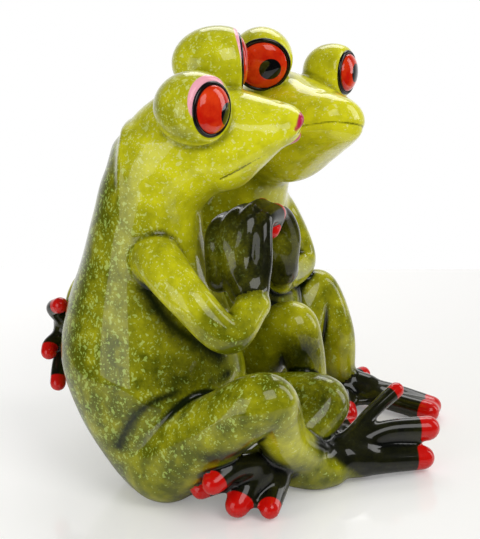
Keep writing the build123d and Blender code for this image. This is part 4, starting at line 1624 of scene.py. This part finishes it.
for piece, name, slot in made:
    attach(piece, "root")
    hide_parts(name)


# Camera, table, lamps and backdrop


def place_camera():
    """The camera at the photograph's angle."""
    back, right, up = view_directions()
    data = bpy.data.cameras.new("camera")
    data.lens = camera_lens
    data.clip_start, data.clip_end = 0.05, 10
    camera = bpy.data.objects.new("camera", data)
    bpy.context.scene.collection.objects.link(camera)
    matrix = Matrix([[right[i], up[i], back[i], 0] for i in range(3)] + [[0, 0, 0, 1]])
    matrix.translation = (np.array(camera_target) + back * camera_distance) * MM
    camera.matrix_world = matrix
    bpy.context.scene.camera = camera


def place_lamp(name, turn, lift, size, power):
    """A soft box that looks at the pair from an angle counted from the camera's."""
    angle, rise = math.radians(camera_turn + turn), math.radians(lift)
    way = Vector((math.sin(angle) * math.cos(rise), -math.cos(angle) * math.cos(rise), math.sin(rise)))
    data = bpy.data.lights.new(name, "AREA")
    data.shape = "RECTANGLE"
    data.size, data.size_y = size[0] * MM, size[1] * MM
    data.energy = power
    lamp = bpy.data.objects.new(name, data)
    lamp.location = Vector(camera_target) * MM + way * lamp_distance * MM
    lamp.rotation_euler = way.to_track_quat("Z", "Y").to_euler()
    bpy.context.scene.collection.objects.link(lamp)


def table_glaze(right):
    """A pale glossy top that glows to the camera, less towards the picture's right."""
    material = bpy.data.materials.new("pale_table")
    material.use_nodes = True
    tree = material.node_tree
    shader = tree.nodes["Principled BSDF"]
    shader.inputs["Base Color"].default_value = paint("table")
    shader.inputs["Roughness"].default_value = 0.1
    shader.inputs["Emission Color"].default_value = (1, 1, 1, 1)
    where = put(tree, "ShaderNodeTexCoord", (-6, -1))
    aside = put(tree, "ShaderNodeVectorMath", (-5, -1), operation="DOT_PRODUCT")
    tree.links.new(where.outputs["Object"], aside.inputs[0])
    aside.inputs[1].default_value = tuple(right / (table_half * MM))
    glow = math_node(tree, "MULTIPLY", aside.outputs["Value"], -glow_fall, (-4, -1))
    glow = math_node(tree, "ADD", glow, table_glow, (-3, -1))
    rays = put(tree, "ShaderNodeLightPath", (-4, -2))
    glow = math_node(tree, "MULTIPLY", rays.outputs["Is Camera Ray"], glow, (-2, -2))
    tree.links.new(glow, shader.inputs["Emission Strength"])
    return material


def make_table():
    """A pale glossy table top, square to the camera."""
    back, right, _ = view_directions()
    level = np.array([back[0], back[1], 0]) / math.hypot(back[0], back[1])
    middle = np.array([camera_target[0], camera_target[1], 0.0])
    corners = [
        middle + right * table_half * a + level * table_half * b + np.array([0, 0, height])
        for height in (table_under, table_top)
        for a, b in ((-1, -1), (1, -1), (1, 1), (-1, 1))
    ]
    faces = [(0, 3, 2, 1), (4, 5, 6, 7), (0, 1, 5, 4), (1, 2, 6, 5), (2, 3, 7, 6), (3, 0, 4, 7)]
    mesh = bpy.data.meshes.new("table_top")
    mesh.from_pydata([tuple(corner * MM) for corner in corners], [], faces)
    mesh.materials.append(table_glaze(right))
    table = bpy.data.objects.new("table_top", mesh)
    bpy.context.scene.collection.objects.link(table)


def light_room():
    """A white room: plain level on the pair, white to the camera and in reflections of its far side."""
    world = bpy.data.worlds.new("white_room")
    bpy.context.scene.world = world
    world.use_nodes = True
    tree = world.node_tree
    background = tree.nodes["Background"]
    background.inputs["Color"].default_value = (1, 1, 1, 1)
    rays = put(tree, "ShaderNodeLightPath", (-6, 0))
    camera = rays.outputs["Is Camera Ray"]
    glossy_ray = rays.outputs["Is Glossy Ray"]
    through = rays.outputs["Is Transmission Ray"]
    where = put(tree, "ShaderNodeTexCoord", (-6, 3))
    facing = put(tree, "ShaderNodeVectorMath", (-5, 3), operation="DOT_PRODUCT")
    tree.links.new(where.outputs["Generated"], facing.inputs[0])
    facing.inputs[1].default_value = tuple(-view_directions()[0])
    far = ramp(tree, facing.outputs["Value"], *far_room, (-4, 3))
    far = math_node(tree, "MULTIPLY", far, 1 - near_room, (-3, 3))
    far = math_node(tree, "ADD", far, near_room, (-2, 3))
    mirrored = math_node(tree, "MAXIMUM", glossy_ray, through, (-3, 1))
    mirrored = math_node(tree, "MULTIPLY", mirrored, far, (-1, 1))
    seen = math_node(tree, "MAXIMUM", camera, mirrored, (0, 0))
    direct = math_node(tree, "ADD", camera, glossy_ray, (-4, -2))
    direct = math_node(tree, "ADD", direct, through, (-3, -2), clamp=True)
    plain = math_node(tree, "SUBTRACT", 1.0, direct, (-2, -2))
    plain = math_node(tree, "MULTIPLY", plain, room_level, (-1, -2))
    tree.links.new(math_node(tree, "ADD", seen, plain, (1, 0)), background.inputs["Strength"])


place_camera()
make_table()
light_room()
for name, settings in soft_boxes.items():
    place_lamp(name, *settings)
bpy.context.scene.view_settings.view_transform = "Standard"
